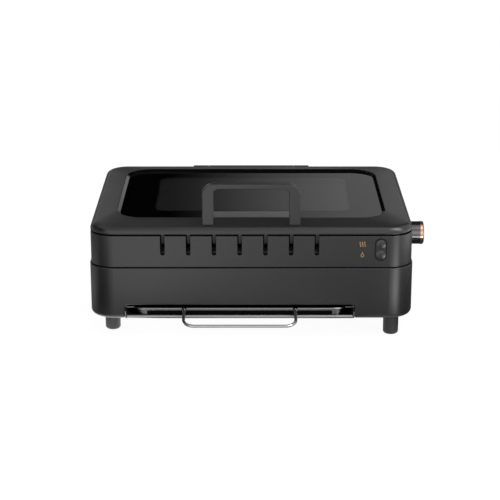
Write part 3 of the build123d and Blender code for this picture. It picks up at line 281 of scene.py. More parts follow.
# %% Lamps and cards
GRILL_MIDDLE = Vector((-0.009, 0.016, 0.09))
TURN = 360.0
FLOOR_CARD_SIDES = 96
REAR_Y = 1.6
REAR_WIDTH = 3.6


def aim(thing):
    """Turn a lamp or a card to the grill."""
    thing.rotation_euler = (GRILL_MIDDLE - thing.location).to_track_quat("-Z", "Y").to_euler()


def soft_box(name, place, width, height, watts):
    lamp = bpy.data.lights.new(name, "AREA")
    lamp.shape = "RECTANGLE"
    lamp.size = width
    lamp.size_y = height
    lamp.energy = watts
    holder = bpy.data.objects.new(name, lamp)
    holder.location = place
    aim(holder)
    scene.collection.objects.link(holder)
    return holder


def reflection_only(sheet, share, stops):
    """Make a sheet a card that only reflections see; share(place) runs from 0 to 1 along its stops."""
    material = bpy.data.materials.new(sheet.name)
    material.use_nodes = True
    tree = material.node_tree
    along = share(Wire(tree).node("ShaderNodeTexCoord", output="Object"))
    peak = max(level for _, level in stops)
    ramp = [(position, grey(level / peak)) for position, level in stops]
    shade = along.node("ShaderNodeValToRGB", {"stops": ramp}, {0: along})
    glow = shade.node("ShaderNodeEmission", {}, {"Color": shade, "Strength": peak})
    tree.links.new(glow.socket, tree.nodes["Material Output"].inputs["Surface"])
    sheet.data.materials.append(material)
    for ray in ("visible_camera", "visible_diffuse", "visible_shadow", "visible_transmission"):
        setattr(sheet, ray, False)


def hanging_card(name, place, width, height, stops):
    """A card turned to the grill.

    Its stops give a distance in metres to the right of its middle, as the grill sees it, and a brightness.
    """
    bpy.ops.object.select_all(action="DESELECT")
    bpy.ops.mesh.primitive_plane_add(size=1, location=place)
    sheet = bpy.context.object
    sheet.name = name
    sheet.scale = (width, height, 1)
    aim(sheet)
    levels = [(0.5 + right / width, level) for right, level in stops]
    reflection_only(sheet, lambda point: 0.5 - point.axes()[0], levels)


def rear_band(name, middle_z, height, stops):
    hanging_card(name, (0, REAR_Y, middle_z), REAR_WIDTH, height, stops)


def floor_card(name, radius, height, stops):
    """A round card on the floor; its stops give degrees from the front to the right, and a brightness."""
    bpy.ops.object.select_all(action="DESELECT")
    bpy.ops.mesh.primitive_circle_add(vertices=FLOOR_CARD_SIDES, radius=radius, fill_type="NGON",
                                      location=(0, 0, height))
    sheet = bpy.context.object
    sheet.name = name

    def direction(place):
        x, y, _ = place.shift(GRILL_MIDDLE.x, GRILL_MIDDLE.y, 0).axes()
        return 0.5 + x.math("ARCTAN2", x, 0.0 - y) / math.tau

    reflection_only(sheet, direction, [(0.5 + degrees / TURN, level) for degrees, level in stops])


overhead_box = soft_box("overhead_box", (0.25, -0.45, 1.5), width=1.2, height=0.8, watts=9)
overhead_box.visible_glossy = False
soft_box("right_box", (1.3, -0.9, 0.8), width=0.5, height=0.8, watts=5)
rear_band("low_rear_card", 0.16, 0.32, [
    (-0.42, 0.04), (-0.32, 0.34), (0.0, 0.3), (0.14, 0.14), (0.3, 0.08), (0.42, 0.04),
])
rear_band("dark_rear_card", 0.375, 0.112, [(-0.45, 0.3), (-0.37, 0.0)])
rear_band("bevel_card", 0.4715, 0.087, [
    (-0.55, 0.6), (-0.41, 0.52), (-0.37, 0.05), (-0.33, 0.0), (0.03, 0.0), (0.08, 1.5), (0.19, 1.5),
    (0.24, 0.4), (0.36, 0.4), (0.4, 0.8),
])
rear_band("rear_card", 0.617, 0.218, [
    (-0.55, 0.68), (-0.41, 0.56), (-0.37, 0.05), (-0.33, 0.0), (-0.2, 0.0), (-0.14, 0.022), (-0.07, 0.077),
    (-0.01, 0.133), (0.04, 0.18), (0.13, 0.267), (0.21, 0.333), (0.3, 0.37), (0.35, 0.44), (0.39, 0.85),
])
rear_band("high_rear_card", 1.14, 1.0, [
    (-0.6, 0.08), (-0.4, 0.13), (-0.25, 0.19), (-0.1, 0.07), (0.1, 0.0),
])
hanging_card("front_card", (0, -1.8, 0.55), 2.4, 0.9, [
    (-0.3, 1.8), (0.1, 1.2), (0.25, 1.4), (0.36, 1.9),
])
hanging_card("corner_card", (0.74, -0.84, 1.3), 0.95, 0.8, [(0.1, 10.0), (0.26, 0.8)])
hanging_card("left_corner_card", (-0.52, 0.77, 1.43), 0.34, 0.34, [(0, 1.6)])
hanging_card("overhead_card", (0, -0.55, 1.9), 2.4, 1.3, [
    (-1.2, 0.5), (-0.3, 1.0), (0.25, 0.9), (0.33, 0.1), (0.45, 0.1), (0.6, 1.0),
])
hanging_card("rear_overhead_card", (0, 0.8, 1.9), 2.4, 1.2, [(0, 0.08)])
hanging_card("left_card", (-1.7, 0, 0.85), 3.2, 1.6, [(0, 0.08)])
floor_card("far_floor_card", 1.4, 0.4 * MM, [
    (-100, 0.15), (-60, 0.3), (-15, 1.9), (-6, 1.9), (6, 1.1), (30, 0.8), (55, 1.5), (70, 3.4), (95, 3.4),
    (120, 0.4), (140, 0.15),
])
floor_card("floor_card", 0.6, 0.6 * MM, [
    (-180, 0.3), (-120, 0.2), (-95, 0.35), (-75, 0.75), (-62, 0.0), (-42, 0.0), (-34, 0.8), (-26, 2.15),
    (-18, 1.95), (0, 1.15), (25, 0.3), (32, 0.35), (38, 5.2), (47, 6.0), (52, 0.3), (60, 0.0), (105, 0.1),
    (140, 0.3),
])
floor_card("near_floor_card", 0.33, 0.8 * MM, [
    (-70, 0.3), (-50, 0.4), (-5, 0.8), (28, 0.6), (34, 0.1), (60, 0.05), (100, 0.1), (180, 0.3),
])
floor_card("foot_floor_card", 0.262, 1.0 * MM, [
    (-70, 0.3), (-55, 2.6), (-44, 2.6), (-38, 0.4), (-5, 0.8), (28, 0.6), (34, 0.1), (42, 0.95), (52, 0.95),
    (60, 0.05), (100, 0.1), (180, 0.3),
])
print("lamps:", len(bpy.data.lights))

# %% [markdown]
# ## Moulded plastic
# The housings and the lid are injection-moulded in charcoal plastic. The mould is spark-eroded, which
# leaves a very fine even grain that spreads each reflection. A fine noise gives that grain as bump, and a
# broad, weak noise lets colour and gloss drift, as they do on a real moulding. One function makes all the
# plastics, from satin to gloss.


# %% Moulded plastics
GRAIN = 1600
GRAIN_DEPTH = 0.03 * MM


def moulded_plastic(name, colour, roughness):
    finish = Finish(name, IOR=1.48)
    cloud = finish.place.noise(14, 4)
    fine = finish.place.noise(GRAIN)
    finish.feed("Base Color", cloud.blend(tint(colour, 0.86), tint(colour, 1.14)))
    finish.feed("Roughness", roughness - 0.04 + 0.06 * cloud + 0.03 * fine)
    finish.bump(fine, GRAIN_DEPTH)
    return finish


CHARCOAL = (0.012, 0.012, 0.0123, 1)
finishes = {
    "housing_plastic": moulded_plastic("charcoal_moulding", CHARCOAL, 0.32),
    "handle_plastic": moulded_plastic("charcoal_handle", tint(CHARCOAL, 1.3), 0.3),
    "inner_plastic": moulded_plastic("black_moulding", (0.008, 0.008, 0.0085, 1), 0.38),
    "white_plastic": moulded_plastic("white_moulding", (0.72, 0.71, 0.68, 1), 0.4),
    "led_plastic": moulded_plastic("led_dome", (0.55, 0.5, 0.42, 1), 0.22),
}
print("plastics:", len(finishes))

# %% [markdown]
# ## Lid glass
# The pane is tempered glass with a black ceramic border fired on its underside, and a tinted window in the
# middle. A row of small dots runs along the window's edge, where the border is printed as a screen. All of
# it can come from the distance to a rounded rectangle, worked out from the place of each point. Alpha lets
# the plate show through the window a little, and a faint smear in the roughness keeps the gloss from
# looking like a computer's.

# %% Lid glass
WINDOW_MIDDLE = (-0.0075, 0.0208)
WINDOW_HALF = (0.128, 0.0797)
WINDOW_CORNER = 0.012
DOT_PITCH = 0.0022
DOT_BAND = 0.0021
DOT_R = DOT_PITCH / 4.2
DOT_CLEARNESS = 0.8
SEE_THROUGH = 0.22
WINDOW_COAT = 0.45


def rectangle_distance(place, middle, half, corner):
    """Distance outside a rounded rectangle seen from above, negative inside it."""
    x, y, _ = place.shift(*middle, 0).axes()
    out_x = abs(x) - (half[0] - corner)
    out_y = abs(y) - (half[1] - corner)
    past_x = out_x.math("MAXIMUM", out_x, 0.0)
    past_y = out_y.math("MAXIMUM", out_y, 0.0)
    inside = out_x.math("MINIMUM", out_x.math("MAXIMUM", out_x, out_y), 0.0)
    return past_x.reach(past_y) + inside - corner


def lid_glass():
    finish = Finish("lid_glass", IOR=1.5)
    gap = rectangle_distance(finish.place, WINDOW_MIDDLE, WINDOW_HALF, WINDOW_CORNER)
    window = 1 - gap.step(-0.0004, 0.0002)
    band = (gap > 0.0) * (gap < DOT_BAND)
    x, y, _ = finish.place.axes()
    cell_x = x.math("PINGPONG", x, DOT_PITCH / 2) - DOT_PITCH / 4
    cell_y = y.math("PINGPONG", y, DOT_PITCH / 2) - DOT_PITCH / 4
    dot = band * (cell_x.reach(cell_y) < DOT_R)
    clear = window.math("MAXIMUM", window, dot * DOT_CLEARNESS)
    smear = finish.place.stretch(1, 3, 1).noise(11, 5)
    finish.feed("Base Color", clear.blend(grey(0.0012), (0.018, 0.018, 0.019, 1)))
    finish.feed("Alpha", 1 - SEE_THROUGH * clear)
    finish.feed("Coat Weight", WINDOW_COAT * clear)
    finish.feed("Roughness", 0.03 + 0.05 * smear.step(0.5, 0.8))
    return finish


finishes["lid_glass"] = lid_glass()
print("window:", [2 * half for half in WINDOW_HALF])

# %% [markdown]
# ## Lid frame
# The lid is the same charcoal plastic, but the bevel that steps down to the glass is glossy and painted near
# black with a weak reflection, painted shade of the recess, so it vanishes except where it catches a light.
# The lid is one moulding, so the bevel can't be given a material of its own. Instead a second shader is mixed
# in, wherever a point lies inside the recess's outline.

# %% Lid frame
RECESS_MIDDLE = (-9.35 * MM, 18.5 * MM)
RECESS_HALF = (176.5 * MM, 120.25 * MM)
RECESS_CORNER = 36.0 * MM


def lid_plastic():
    finish = moulded_plastic("charcoal_lid", CHARCOAL, 0.3)
    gap = rectangle_distance(finish.place, RECESS_MIDDLE, RECESS_HALF, RECESS_CORNER)
    bevel = 1 - gap.step(-0.4 * MM, -0.1 * MM)
    # Painted shade: inside the recess outline the plastic turns near black and its reflection is turned down,
    # so the bevel reads dark except where a card shows in it.
    glossy_painted_shade = {"Base Color": grey(0.0012), "Roughness": 0.14, "IOR": 1.45, "Specular IOR Level": 0.12}
    painted_shade_gloss = bevel.node("ShaderNodeBsdfPrincipled", {}, glossy_painted_shade)
    satin = Wire(finish.tree, finish.shader.outputs["BSDF"])
    mixed = bevel.node("ShaderNodeMixShader", {}, {0: bevel, 1: satin, 2: painted_shade_gloss})
    finish.tree.links.new(mixed.socket, finish.tree.nodes["Material Output"].inputs["Surface"])
    return finish


finishes["lid_plastic"] = lid_plastic()
print("recess:", [round(2 * half, 4) for half in RECESS_HALF])

# %% [markdown]
# ## Sheet steel, tray steel and wire
# Rolled stainless steel carries long fine lines from the rollers, so its gloss is drawn out across them.
# Stretching a noise a hundred times along one axis gives such lines. The tray is deep-drawn and brighter,
# the liner and brackets are duller, and the wire handle is polished and plated.


# %% Metals
def brushed_metal(name, colour, roughness, stretch, depth=0.012 * MM):
    finish = Finish(name, Metallic=1.0)
    lines = finish.place.stretch(*stretch).noise(1, 3)
    cloud = finish.place.noise(18, 3)
    finish.feed("Base Color", lines.blend(tint(colour, 0.84), tint(colour, 1.12)))
    finish.feed("Roughness", roughness - 0.06 + 0.1 * lines + 0.06 * cloud)
    finish.bump(lines, depth)
    return finish


metals = {
    "tray_steel": brushed_metal("drawn_steel", (0.2, 0.2, 0.203, 1), 0.24, (30, 900, 900)),
    "sheet_steel": brushed_metal("rolled_steel", (0.26, 0.26, 0.262, 1), 0.34, (40, 1400, 1400)),
    "wire_chrome": brushed_metal("plated_wire", (0.42, 0.42, 0.43, 1), 0.14, (60, 400, 400), 0.004 * MM),
    "pin_steel": brushed_metal("ground_pin", (0.55, 0.55, 0.56, 1), 0.25, (1500, 60, 60)),
    "screw_steel": brushed_metal("zinc_screw", (0.5, 0.51, 0.53, 1), 0.3, (500, 500, 500)),
    "thermostat_metal": brushed_metal("pressed_case", (0.58, 0.57, 0.55, 1), 0.36, (60, 900, 900)),
    "ring_metal": brushed_metal("rose_gold_ring", (0.6, 0.34, 0.23, 1), 0.18, (900, 60, 60), 0.006 * MM),
}
finishes.update(metals)
print("metals:", len(metals))

# %% [markdown]
# ## Cooking surfaces
# The grill plate has a dark non-stick coating with fine lighter flecks, and a faint orange-peel surface
# where it was sprayed. The heating element under it is a steel tube that heat has tinted from straw to
# blue. Cells from a Voronoi texture make the flecks; a slow noise sends the tube's colour along a ramp of
# heat tints.


# %% Coating and element
def non_stick():
    finish = Finish("non_stick_coating", IOR=1.5)
    flecks = finish.place.node("ShaderNodeTexVoronoi", {}, {"Vector": finish.place, "Scale": 520.0})
    fleck = 1 - flecks.step(0.08, 0.2)
    peel = finish.place.noise(700, 2)
    finish.feed("Base Color", fleck.blend((0.012, 0.012, 0.0125, 1), (0.16, 0.155, 0.15, 1)))
    finish.feed("Roughness", 0.3 + 0.12 * peel)
    finish.bump(peel, 0.04 * MM)
    return finish


def heat_tinted():
    finish = Finish("heat_tinted_tube", Metallic=1.0)
    drift = finish.place.noise(22, 3)
    stops = [(0.3, (0.2, 0.19, 0.18, 1)), (0.48, (0.34, 0.25, 0.14, 1)),
             (0.6, (0.2, 0.13, 0.16, 1)), (0.75, (0.1, 0.12, 0.2, 1))]
    finish.feed("Base Color", drift.node("ShaderNodeValToRGB", {"stops": stops}, {0: drift}))
    fine = finish.place.noise(1100, 2)
    finish.feed("Roughness", 0.36 + 0.16 * drift)
    finish.bump(fine, 0.02 * MM)
    return finish


finishes["grill_coating"] = non_stick()
finishes["element_steel"] = heat_tinted()
print("finishes with the cooking surfaces:", len(finishes))

# %% [markdown]
# ## Rubber, paint and small finishes
# Feet and seals are soft black rubber: matt, with a dusty bloom. The hinge is black powder paint, whose
# tiny beads show as orange peel. The knob is plated in black chrome, and the lamp lenses are smoked plastic
# with fine moulded rings that scatter the light behind them.


# %% Rubber, paint, knob and lenses
LENS_RINGS = 5200


def rubber(name, colour, roughness):
    finish = Finish(name, IOR=1.45)
    bloom = finish.place.noise(60, 4)
    pores = finish.place.noise(900, 2)
    finish.feed("Base Color", bloom.step(0.35, 0.8).blend(colour, tint(colour, 1.8)))
    finish.feed("Roughness", roughness - 0.08 + 0.12 * bloom)
    finish.bump(pores, 0.05 * MM)
    return finish


def powder_paint():
    finish = Finish("black_powder_paint", IOR=1.5)
    beads = finish.place.noise(800, 3)
    finish.feed("Base Color", beads.blend((0.012, 0.012, 0.012, 1), (0.022, 0.022, 0.023, 1)))
    finish.feed("Roughness", 0.34 + 0.14 * beads)
    finish.bump(beads, 0.12 * MM)
    return finish


def polished_knob():
    finish = Finish("black_chrome_knob", Metallic=1.0)
    smear = finish.place.noise(45, 4)
    finish.feed("Base Color", smear.blend(grey(0.1), grey(0.14)))
    finish.feed("Roughness", 0.12 + 0.08 * smear)
    finish.bump(smear, 0.01 * MM)
    return finish


def smoked_lens():
    """Smoked plastic with moulded rings round the middle of whichever lens a point lies on."""
    finish = Finish("smoked_lens", IOR=1.5)
    x, _, z = finish.place.axes()
    upper = box_middle("heating_lamp_lens")
    lower = box_middle("water_lamp_lens")
    on_upper = z > (upper.z + lower.z) / 2
    middle_z = lower.z + (upper.z - lower.z) * on_upper
    turns = (x - upper.x).reach(z - middle_z) * LENS_RINGS
    rings = turns.math("SINE", turns)
    finish.feed("Base Color", (0.5 + 0.5 * rings).blend(grey(0.012), grey(0.022)))
    finish.feed("Roughness", 0.24 + 0.05 * rings)
    finish.bump(rings, 0.02 * MM)
    return finish


finishes.update({
    "seal_rubber": rubber("black_seal", (0.008, 0.008, 0.008, 1), 0.62),
    "foot_rubber": rubber("rubber_foot", (0.016, 0.016, 0.0165, 1), 0.5),
    "lead_rubber": rubber("silicone_lead", (0.05, 0.012, 0.01, 1), 0.5),
    "hinge_metal": powder_paint(),
    "knob_plastic": polished_knob(),
    "lamp_lens": smoked_lens(),
})
print("finishes so far:", len(finishes))

# %% [markdown]
# ## Circuit board
# The lamps sit on a small green board. Its copper tracks lie under the solder mask and show as slightly
# lighter, raised lines. A brick texture gives right-angled tracks without drawing each of them.


# %% Circuit board
def circuit_board():
    finish = Finish("green_board", IOR=1.5)
    x, y, z = finish.place.axes()
    flat = x.node("ShaderNodeCombineXYZ", {}, {0: x, 1: z, 2: y})
    sockets = {"Vector": flat, "Scale": 260.0, "Mortar Size": 0.06, "Color1": grey(0), "Color2": grey(0),
               "Mortar": grey(1)}
    tracks = flat.node("ShaderNodeTexBrick", {}, sockets, "Fac")
    finish.feed("Base Color", tracks.blend((0.012, 0.09, 0.03, 1), (0.03, 0.17, 0.06, 1)))
    finish.feed("Roughness", 0.36 - 0.1 * tracks)
    finish.bump(tracks, 0.05 * MM)
    return finish


finishes["board"] = circuit_board()
missing = {row["slot"] for row in frame["record"]["materials"]} - set(finishes)
print("slots with no finish:", sorted(missing))

# %% [markdown]
# ## Dressing the solids
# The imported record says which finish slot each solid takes. Their meshes are left alone: only the material
# in their slots changes.

# %% Dress the solids
for row in frame["record"]["subparts"]:
    piece = nodes[row["node"]]
    piece.data.materials.clear()
    piece.data.materials.append(finishes[row["material_slot"]].material)

# %% [markdown]
# ## Bezel, inlet and pad
# Two plastic pieces carry a second finish. The lamp bezel has a near-black ring round a charcoal face,
# painted shade of its groove, and the mains inlet holds three metal pins. Both can be told apart by place
# alone: the distance to the bezel's outline, and the depth inside the inlet's mouth. The pad under the handle
# is painted a lighter grey than the lid, painted light for the light its face catches.


# %% Bezel, inlet and pad finishes
PAINTED_GROOVE_WIDTH = 1.7 * MM
EDGE_BLUR = 0.1 * MM
MOUTH_HALF_WIDTH = 9 * MM
MOUTH_HALF_HEIGHT = 5 * MM
PIN_START = -5 * MM
PIN_END = 9 * MM


def bezel_painted_groove_shade():
    finish = Finish("bezel_painted_groove_shade", IOR=1.48, Specular_IOR_Level=0.2)
    low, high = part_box("indicator_bezel")
    half_width = (high.x - low.x) / 2
    x, _, z = finish.place.shift(*box_middle("indicator_bezel")).axes()
    past = abs(z) - ((high.z - low.z) / 2 - half_width)
    end = past.math("MAXIMUM", past, 0.0)
    face_r = half_width - PAINTED_GROOVE_WIDTH
    face = 1 - x.reach(end).step(face_r - EDGE_BLUR, face_r + EDGE_BLUR)
    fine = finish.place.noise(GRAIN)
    # Painted shade: the ring between the face and the outline is near black, standing in for the shade in the
    # groove, and the whole bezel's reflection is turned down.
    finish.feed("Base Color", face.blend(grey(0.0012), grey(0.03)))
    finish.feed("Roughness", 0.5 - 0.16 * face + 0.04 * fine)
    finish.bump(fine, GRAIN_DEPTH)
    return finish.material


def pinned_inlet():
    finish = Finish("pinned_inlet", IOR=1.48)
    x, y, z = finish.place.shift(*box_middle("mains_inlet")).axes()
    mouth = (abs(x) < MOUTH_HALF_WIDTH) * (abs(z) < MOUTH_HALF_HEIGHT)
    inside = mouth * (y > PIN_START) * (y < PIN_END)
    fine = finish.place.noise(900, 3)
    finish.feed("Base Color", inside.blend((0.008, 0.008, 0.0085, 1), (0.62, 0.6, 0.55, 1)))
    finish.feed("Metallic", inside)
    finish.feed("Roughness", 0.34 + 0.1 * fine)
    finish.bump(fine, 0.026 * MM)
    return finish.material


nodes["indicator_bezel"].data.materials[0] = bezel_painted_groove_shade()
# Painted light: the pad's lighter grey stands in for the light its face catches.
nodes["handle_base_pad"].data.materials[0] = moulded_plastic("painted_light_pad", grey(0.085), 0.34).material
nodes["mains_inlet"].data.materials[0] = pinned_inlet()
print("bezel, inlet and pad dressed")

# %% [markdown]
# ## Tools for modelling
# From here on, small pieces are modelled as by hand: a primitive at its size and place, shaped in edit
# mode. In edit mode every operator acts on what is selected, so these helpers deselect everything first and
# then pick faces or edges by where they are. A finished piece keeps its place in its mesh, rides on a body
# and takes its finish.


# %% Modelling helpers
def add_primitive(operator, **settings):
    bpy.ops.object.select_all(action="DESELECT")
    operator(**settings)
    return bpy.context.object


def pick_faces(test):
    """In edit mode, select the faces whose middle and normal pass a test."""
    bpy.ops.mesh.select_mode(type="FACE")
    bpy.ops.mesh.select_all(action="DESELECT")
    mesh = bmesh.from_edit_mesh(bpy.context.object.data)
    for face in mesh.faces:
        face.select_set(test(face.calc_center_median(), face.normal))
    bmesh.update_edit_mesh(bpy.context.object.data)


def pick_edges(test):
    """In edit mode, select the edges whose two ends pass a test."""
    bpy.ops.mesh.select_mode(type="EDGE")
    bpy.ops.mesh.select_all(action="DESELECT")
    mesh = bmesh.from_edit_mesh(bpy.context.object.data)
    for edge in mesh.edges:
        edge.select_set(test(edge.verts[0].co, edge.verts[1].co))
    bmesh.update_edit_mesh(bpy.context.object.data)


def apply_modifier(piece, kind, **settings):
    modifier = piece.modifiers.new(kind.lower(), kind)
    for name, value in settings.items():
        setattr(modifier, name, value)
    bpy.context.view_layer.objects.active = piece
    bpy.ops.object.modifier_apply(modifier=modifier.name)


def copy_mesh(piece, move):
    """A copy with its own mesh, moved by a matrix inside that mesh."""
    twin = piece.copy()
    twin.data = piece.data.copy()
    twin.data.transform(move)
    scene.collection.objects.link(twin)
    return twin


def join_pieces(pieces):
    """Join pieces into the first of them."""
    bpy.ops.object.select_all(action="DESELECT")
    for piece in pieces:
        piece.select_set(True)
    bpy.context.view_layer.objects.active = pieces[0]
    bpy.ops.object.join()
    return pieces[0]


def finish_piece(piece, name, material, body, angle=35):
    """Put a piece's place into its mesh, smooth it, and hang it on a body and a finish slot."""
    bpy.ops.object.select_all(action="DESELECT")
    piece.select_set(True)
    bpy.context.view_layer.objects.active = piece
    bpy.ops.object.transform_apply(location=True, rotation=True, scale=True)
    bpy.ops.object.shade_smooth_by_angle(angle=math.radians(angle))
    piece.name = name
    piece.data.materials.clear()
    piece.data.materials.append(material)
    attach(piece, body)
    return piece


print("modelling helpers ready")

# %% [markdown]
# ## Tray front panel
# A black strip with round ends lies on the tray's front wall, under the rolled rim. Its black is painted
# shade:
# it stands in for the shade and dark reflection on the tray's front wall. It could be a colour in the tray's
# material, but it is a thin plate that stands a little proud: a cube whose corners are bevelled into half
# circles, with a small inset edge round its face.

# %% Tray front panel
PANEL_HALF = 120.6 * MM
PANEL_HEIGHT = 4.4 * MM
PANEL_THICK = 0.8 * MM
PANEL_LIFT = 0.15 * MM  # above the tray's lower edge
PANEL_ROUND = 0.48  # corner radius as a share of the height
PANEL_INSET = 0.35 * MM
PANEL_PROUD = 0.2 * MM
RIM_BEAD = 3.5 * MM
tray_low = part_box("drip_tray")[0]
tray_middle = box_middle("drip_tray")
wall_y = tray_low.y + RIM_BEAD


# Painted shade and reflection: the plate's near-black colour and weak reflection stand in for the shade and
# dark reflection on the tray's front wall.
def painted_shade_finish():
    finish = Finish("painted_shade_black", IOR=1.45, Specular_IOR_Level=0.04)
    ripple = finish.place.noise(160, 3)
    finish.feed("Base Color", ripple.blend(grey(0.0008), grey(0.0015)))
    finish.feed("Roughness", 0.5 + 0.12 * ripple)
    finish.bump(ripple, 0.02 * MM)
    return finish.material


def tray_panel():
    middle = (tray_middle.x, wall_y - PANEL_THICK / 2, tray_low.z + PANEL_LIFT + PANEL_HEIGHT / 2)
    panel = add_primitive(bpy.ops.mesh.primitive_cube_add, size=1, location=middle)
    panel.scale = (2 * PANEL_HALF, PANEL_THICK, PANEL_HEIGHT)
    bpy.ops.object.transform_apply(location=True, rotation=True, scale=True)
    bpy.ops.object.mode_set(mode="EDIT")
    pick_edges(lambda a, b: abs(a.y - b.y) > PANEL_THICK / 2)
    bpy.ops.mesh.bevel(offset=PANEL_ROUND * PANEL_HEIGHT, segments=10, affect="EDGES")
    pick_faces(lambda middle, normal: normal.y < -0.9)
    bpy.ops.mesh.inset(thickness=PANEL_INSET)
    bpy.ops.transform.translate(value=(0, -PANEL_PROUD, 0))
    bpy.ops.object.mode_set(mode="OBJECT")
    return finish_piece(panel, "tray_painted_shade_panel", painted_shade_finish(), "tray")


panel = tray_panel()
print("tray panel:", [round(side, 4) for side in panel.dimensions])

# %% [markdown]
# ## Wire welds
# The tray's wire handle is resistance-welded to the rim: the end of each leg spreads where it was pressed
# against the sheet. A cone round the leg, flattened and rounded, gives that spread end. It is modelled
# once, at the left leg, and copied to the right.

# %% Wire welds
WELD_LENGTH = 5.5 * MM
WELD_WIDE = 3.7 * MM
WELD_NARROW = 2.08 * MM
WELD_SINK = 0.6 * MM
WELD_FLATTEN = 0.62
WIRE_R = 2 * MM
WIRE_HALF_PITCH = 72 * MM
leg_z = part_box("tray_handle")[1].z - WIRE_R


def wire_weld():
    wide_y = tray_low.y + WELD_SINK
    place = (tray_middle.x - WIRE_HALF_PITCH, wide_y - WELD_LENGTH / 2, leg_z)
    weld = add_primitive(bpy.ops.mesh.primitive_cone_add, vertices=32, radius1=WELD_WIDE, radius2=WELD_NARROW,
                         depth=WELD_LENGTH, location=place, rotation=(math.pi / 2, 0, 0))
    bpy.ops.object.transform_apply(location=True, rotation=True, scale=True)
    bpy.ops.object.mode_set(mode="EDIT")
    pick_faces(lambda middle, normal: abs(middle.y - wide_y) < 0.1 * MM)
    bpy.ops.transform.resize(value=(1, 1, WELD_FLATTEN), center_override=(place[0], wide_y, leg_z))
    bpy.ops.mesh.select_all(action="SELECT")
    bpy.ops.mesh.subdivide(number_cuts=1, smoothness=0.4)
    bpy.ops.object.mode_set(mode="OBJECT")
    apply_modifier(weld, "BEVEL", width=0.5 * MM, segments=3, limit_method="ANGLE")
    chrome = finishes["wire_chrome"].material
    return finish_piece(weld, "left_wire_weld", chrome, "tray", angle=60)


left_weld = wire_weld()
right_weld = copy_mesh(left_weld, Matrix.Translation((2 * WIRE_HALF_PITCH, 0, 0)))
right_weld.name = "right_wire_weld"
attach(right_weld, "tray")
print("weld:", [round(side, 4) for side in left_weld.dimensions])

# %% [markdown]
# ## Lamp signs
# Beside each lamp a small gold sign says what it means: three heat waves for heating, a drop for the water
# in the tray. Each is printed in metallic ink, so it is a very thin raised line. The wave is a Bezier curve
# turned into a mesh and flattened, modelled once and copied twice; the drop is a circle with its top pulled
# to a point and its middle taken out.

# %% Lamp signs
SIGN_X = 133.2 * MM
WAVE_HEIGHT = 6.6 * MM
WAVE_PITCH = 2.9 * MM
STROKE = 0.42 * MM
WAVE_SWING = 4.8 * STROKE
DROP_R = 2.3 * MM
DROP_PULLS = ((0.98, 1.3), (0.8, 0.75), (0.45, 0.3))  # points above this many radii rise by half of that many
DROP_NARROW = 0.72
PRINT_DEPTH = 0.06 * MM
front_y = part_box("upper_housing")[0].y
heating_z = box_middle("heating_lamp_lens").z
water_z = box_middle("water_lamp_lens").z


def gold_ink():
    finish = Finish("gold_ink", Metallic=1.0)
    fleck = finish.place.noise(2600, 2)
    finish.feed("Base Color", fleck.blend((0.34, 0.2, 0.075, 1), (0.46, 0.29, 0.12, 1)))
    finish.feed("Roughness", 0.36 + 0.14 * fleck)
    finish.bump(fleck, 0.01 * MM)
    return finish.material


gold = gold_ink()


def heat_wave():
    wave = add_primitive(bpy.ops.curve.primitive_bezier_curve_add, location=(0, 0, 0))
    ends = wave.data.splines[0].bezier_points
    for end, side in zip(ends, (-1, 1)):
        end.handle_left_type = end.handle_right_type = "FREE"
        end.co = (0, side * WAVE_HEIGHT / 2, 0)
        end.handle_left = (-WAVE_SWING, (side - 1) * WAVE_HEIGHT / 2, 0)
        end.handle_right = (WAVE_SWING, (side + 1) * WAVE_HEIGHT / 2, 0)
    wave.data.bevel_depth = STROKE
    wave.data.bevel_resolution = 2
    wave.data.resolution_u = 16
    wave.data.use_fill_caps = True
    bpy.ops.object.convert(target="MESH")
    wave = bpy.context.object
    wave.scale = (1, 1, PRINT_DEPTH / STROKE)
    wave.rotation_euler = (math.pi / 2, 0, 0)
    wave.location = (SIGN_X - WAVE_PITCH, front_y, heating_z)
    bpy.ops.object.transform_apply(location=True, rotation=True, scale=True)
    return wave


def heating_sign():
    first = heat_wave()
    copies = [copy_mesh(first, Matrix.Translation((step * WAVE_PITCH, 0, 0))) for step in (1, 2)]
    waves = join_pieces([first] + copies)
    return finish_piece(waves, "heating_sign", gold, "base", angle=60)


def water_sign():
    place = (SIGN_X, front_y, water_z - DROP_R / 3)
    drop = add_primitive(bpy.ops.mesh.primitive_circle_add, vertices=32, radius=DROP_R, fill_type="NGON",
                         location=place, rotation=(math.pi / 2, 0, 0))
    bpy.ops.object.transform_apply(location=True, rotation=True, scale=True)
    bpy.ops.object.mode_set(mode="EDIT")
    bpy.ops.mesh.select_mode(type="VERT")
    for reach, lift in DROP_PULLS:
        bpy.ops.mesh.select_all(action="DESELECT")
        mesh = bmesh.from_edit_mesh(drop.data)
        for vertex in mesh.verts:
            vertex.select_set(vertex.co.z > place[2] + reach * DROP_R)
        bmesh.update_edit_mesh(drop.data)
        bpy.ops.transform.translate(value=(0, 0, lift * DROP_R / 2))
        bpy.ops.transform.resize(value=(DROP_NARROW, 1, 1), center_override=place)
    bpy.ops.mesh.select_mode(type="FACE")
    bpy.ops.mesh.select_all(action="SELECT")
    bpy.ops.mesh.inset(thickness=2 * STROKE)
    bpy.ops.mesh.delete(type="FACE")
    bpy.ops.object.mode_set(mode="OBJECT")
    apply_modifier(drop, "SOLIDIFY", thickness=2 * PRINT_DEPTH, offset=0.0)
    return finish_piece(drop, "water_sign", gold, "base", angle=60)


signs = [heating_sign(), water_sign()]
print("signs:", [[round(side, 4) for side in sign.dimensions] for sign in signs])

# %% [markdown]
# ## Cross-head screws
# The solids hold plain screws. A real one has a domed pan head with a cross pressed into it, and no two
# stop at the same angle. One screw is modelled standing on the origin: a short cylinder, its top edge
# bevelled to a dome, its underside inset and extruded to the shank, and the cross cut by two thin blades.
# Copies take the places of the solid screws, each turned by its own angle.

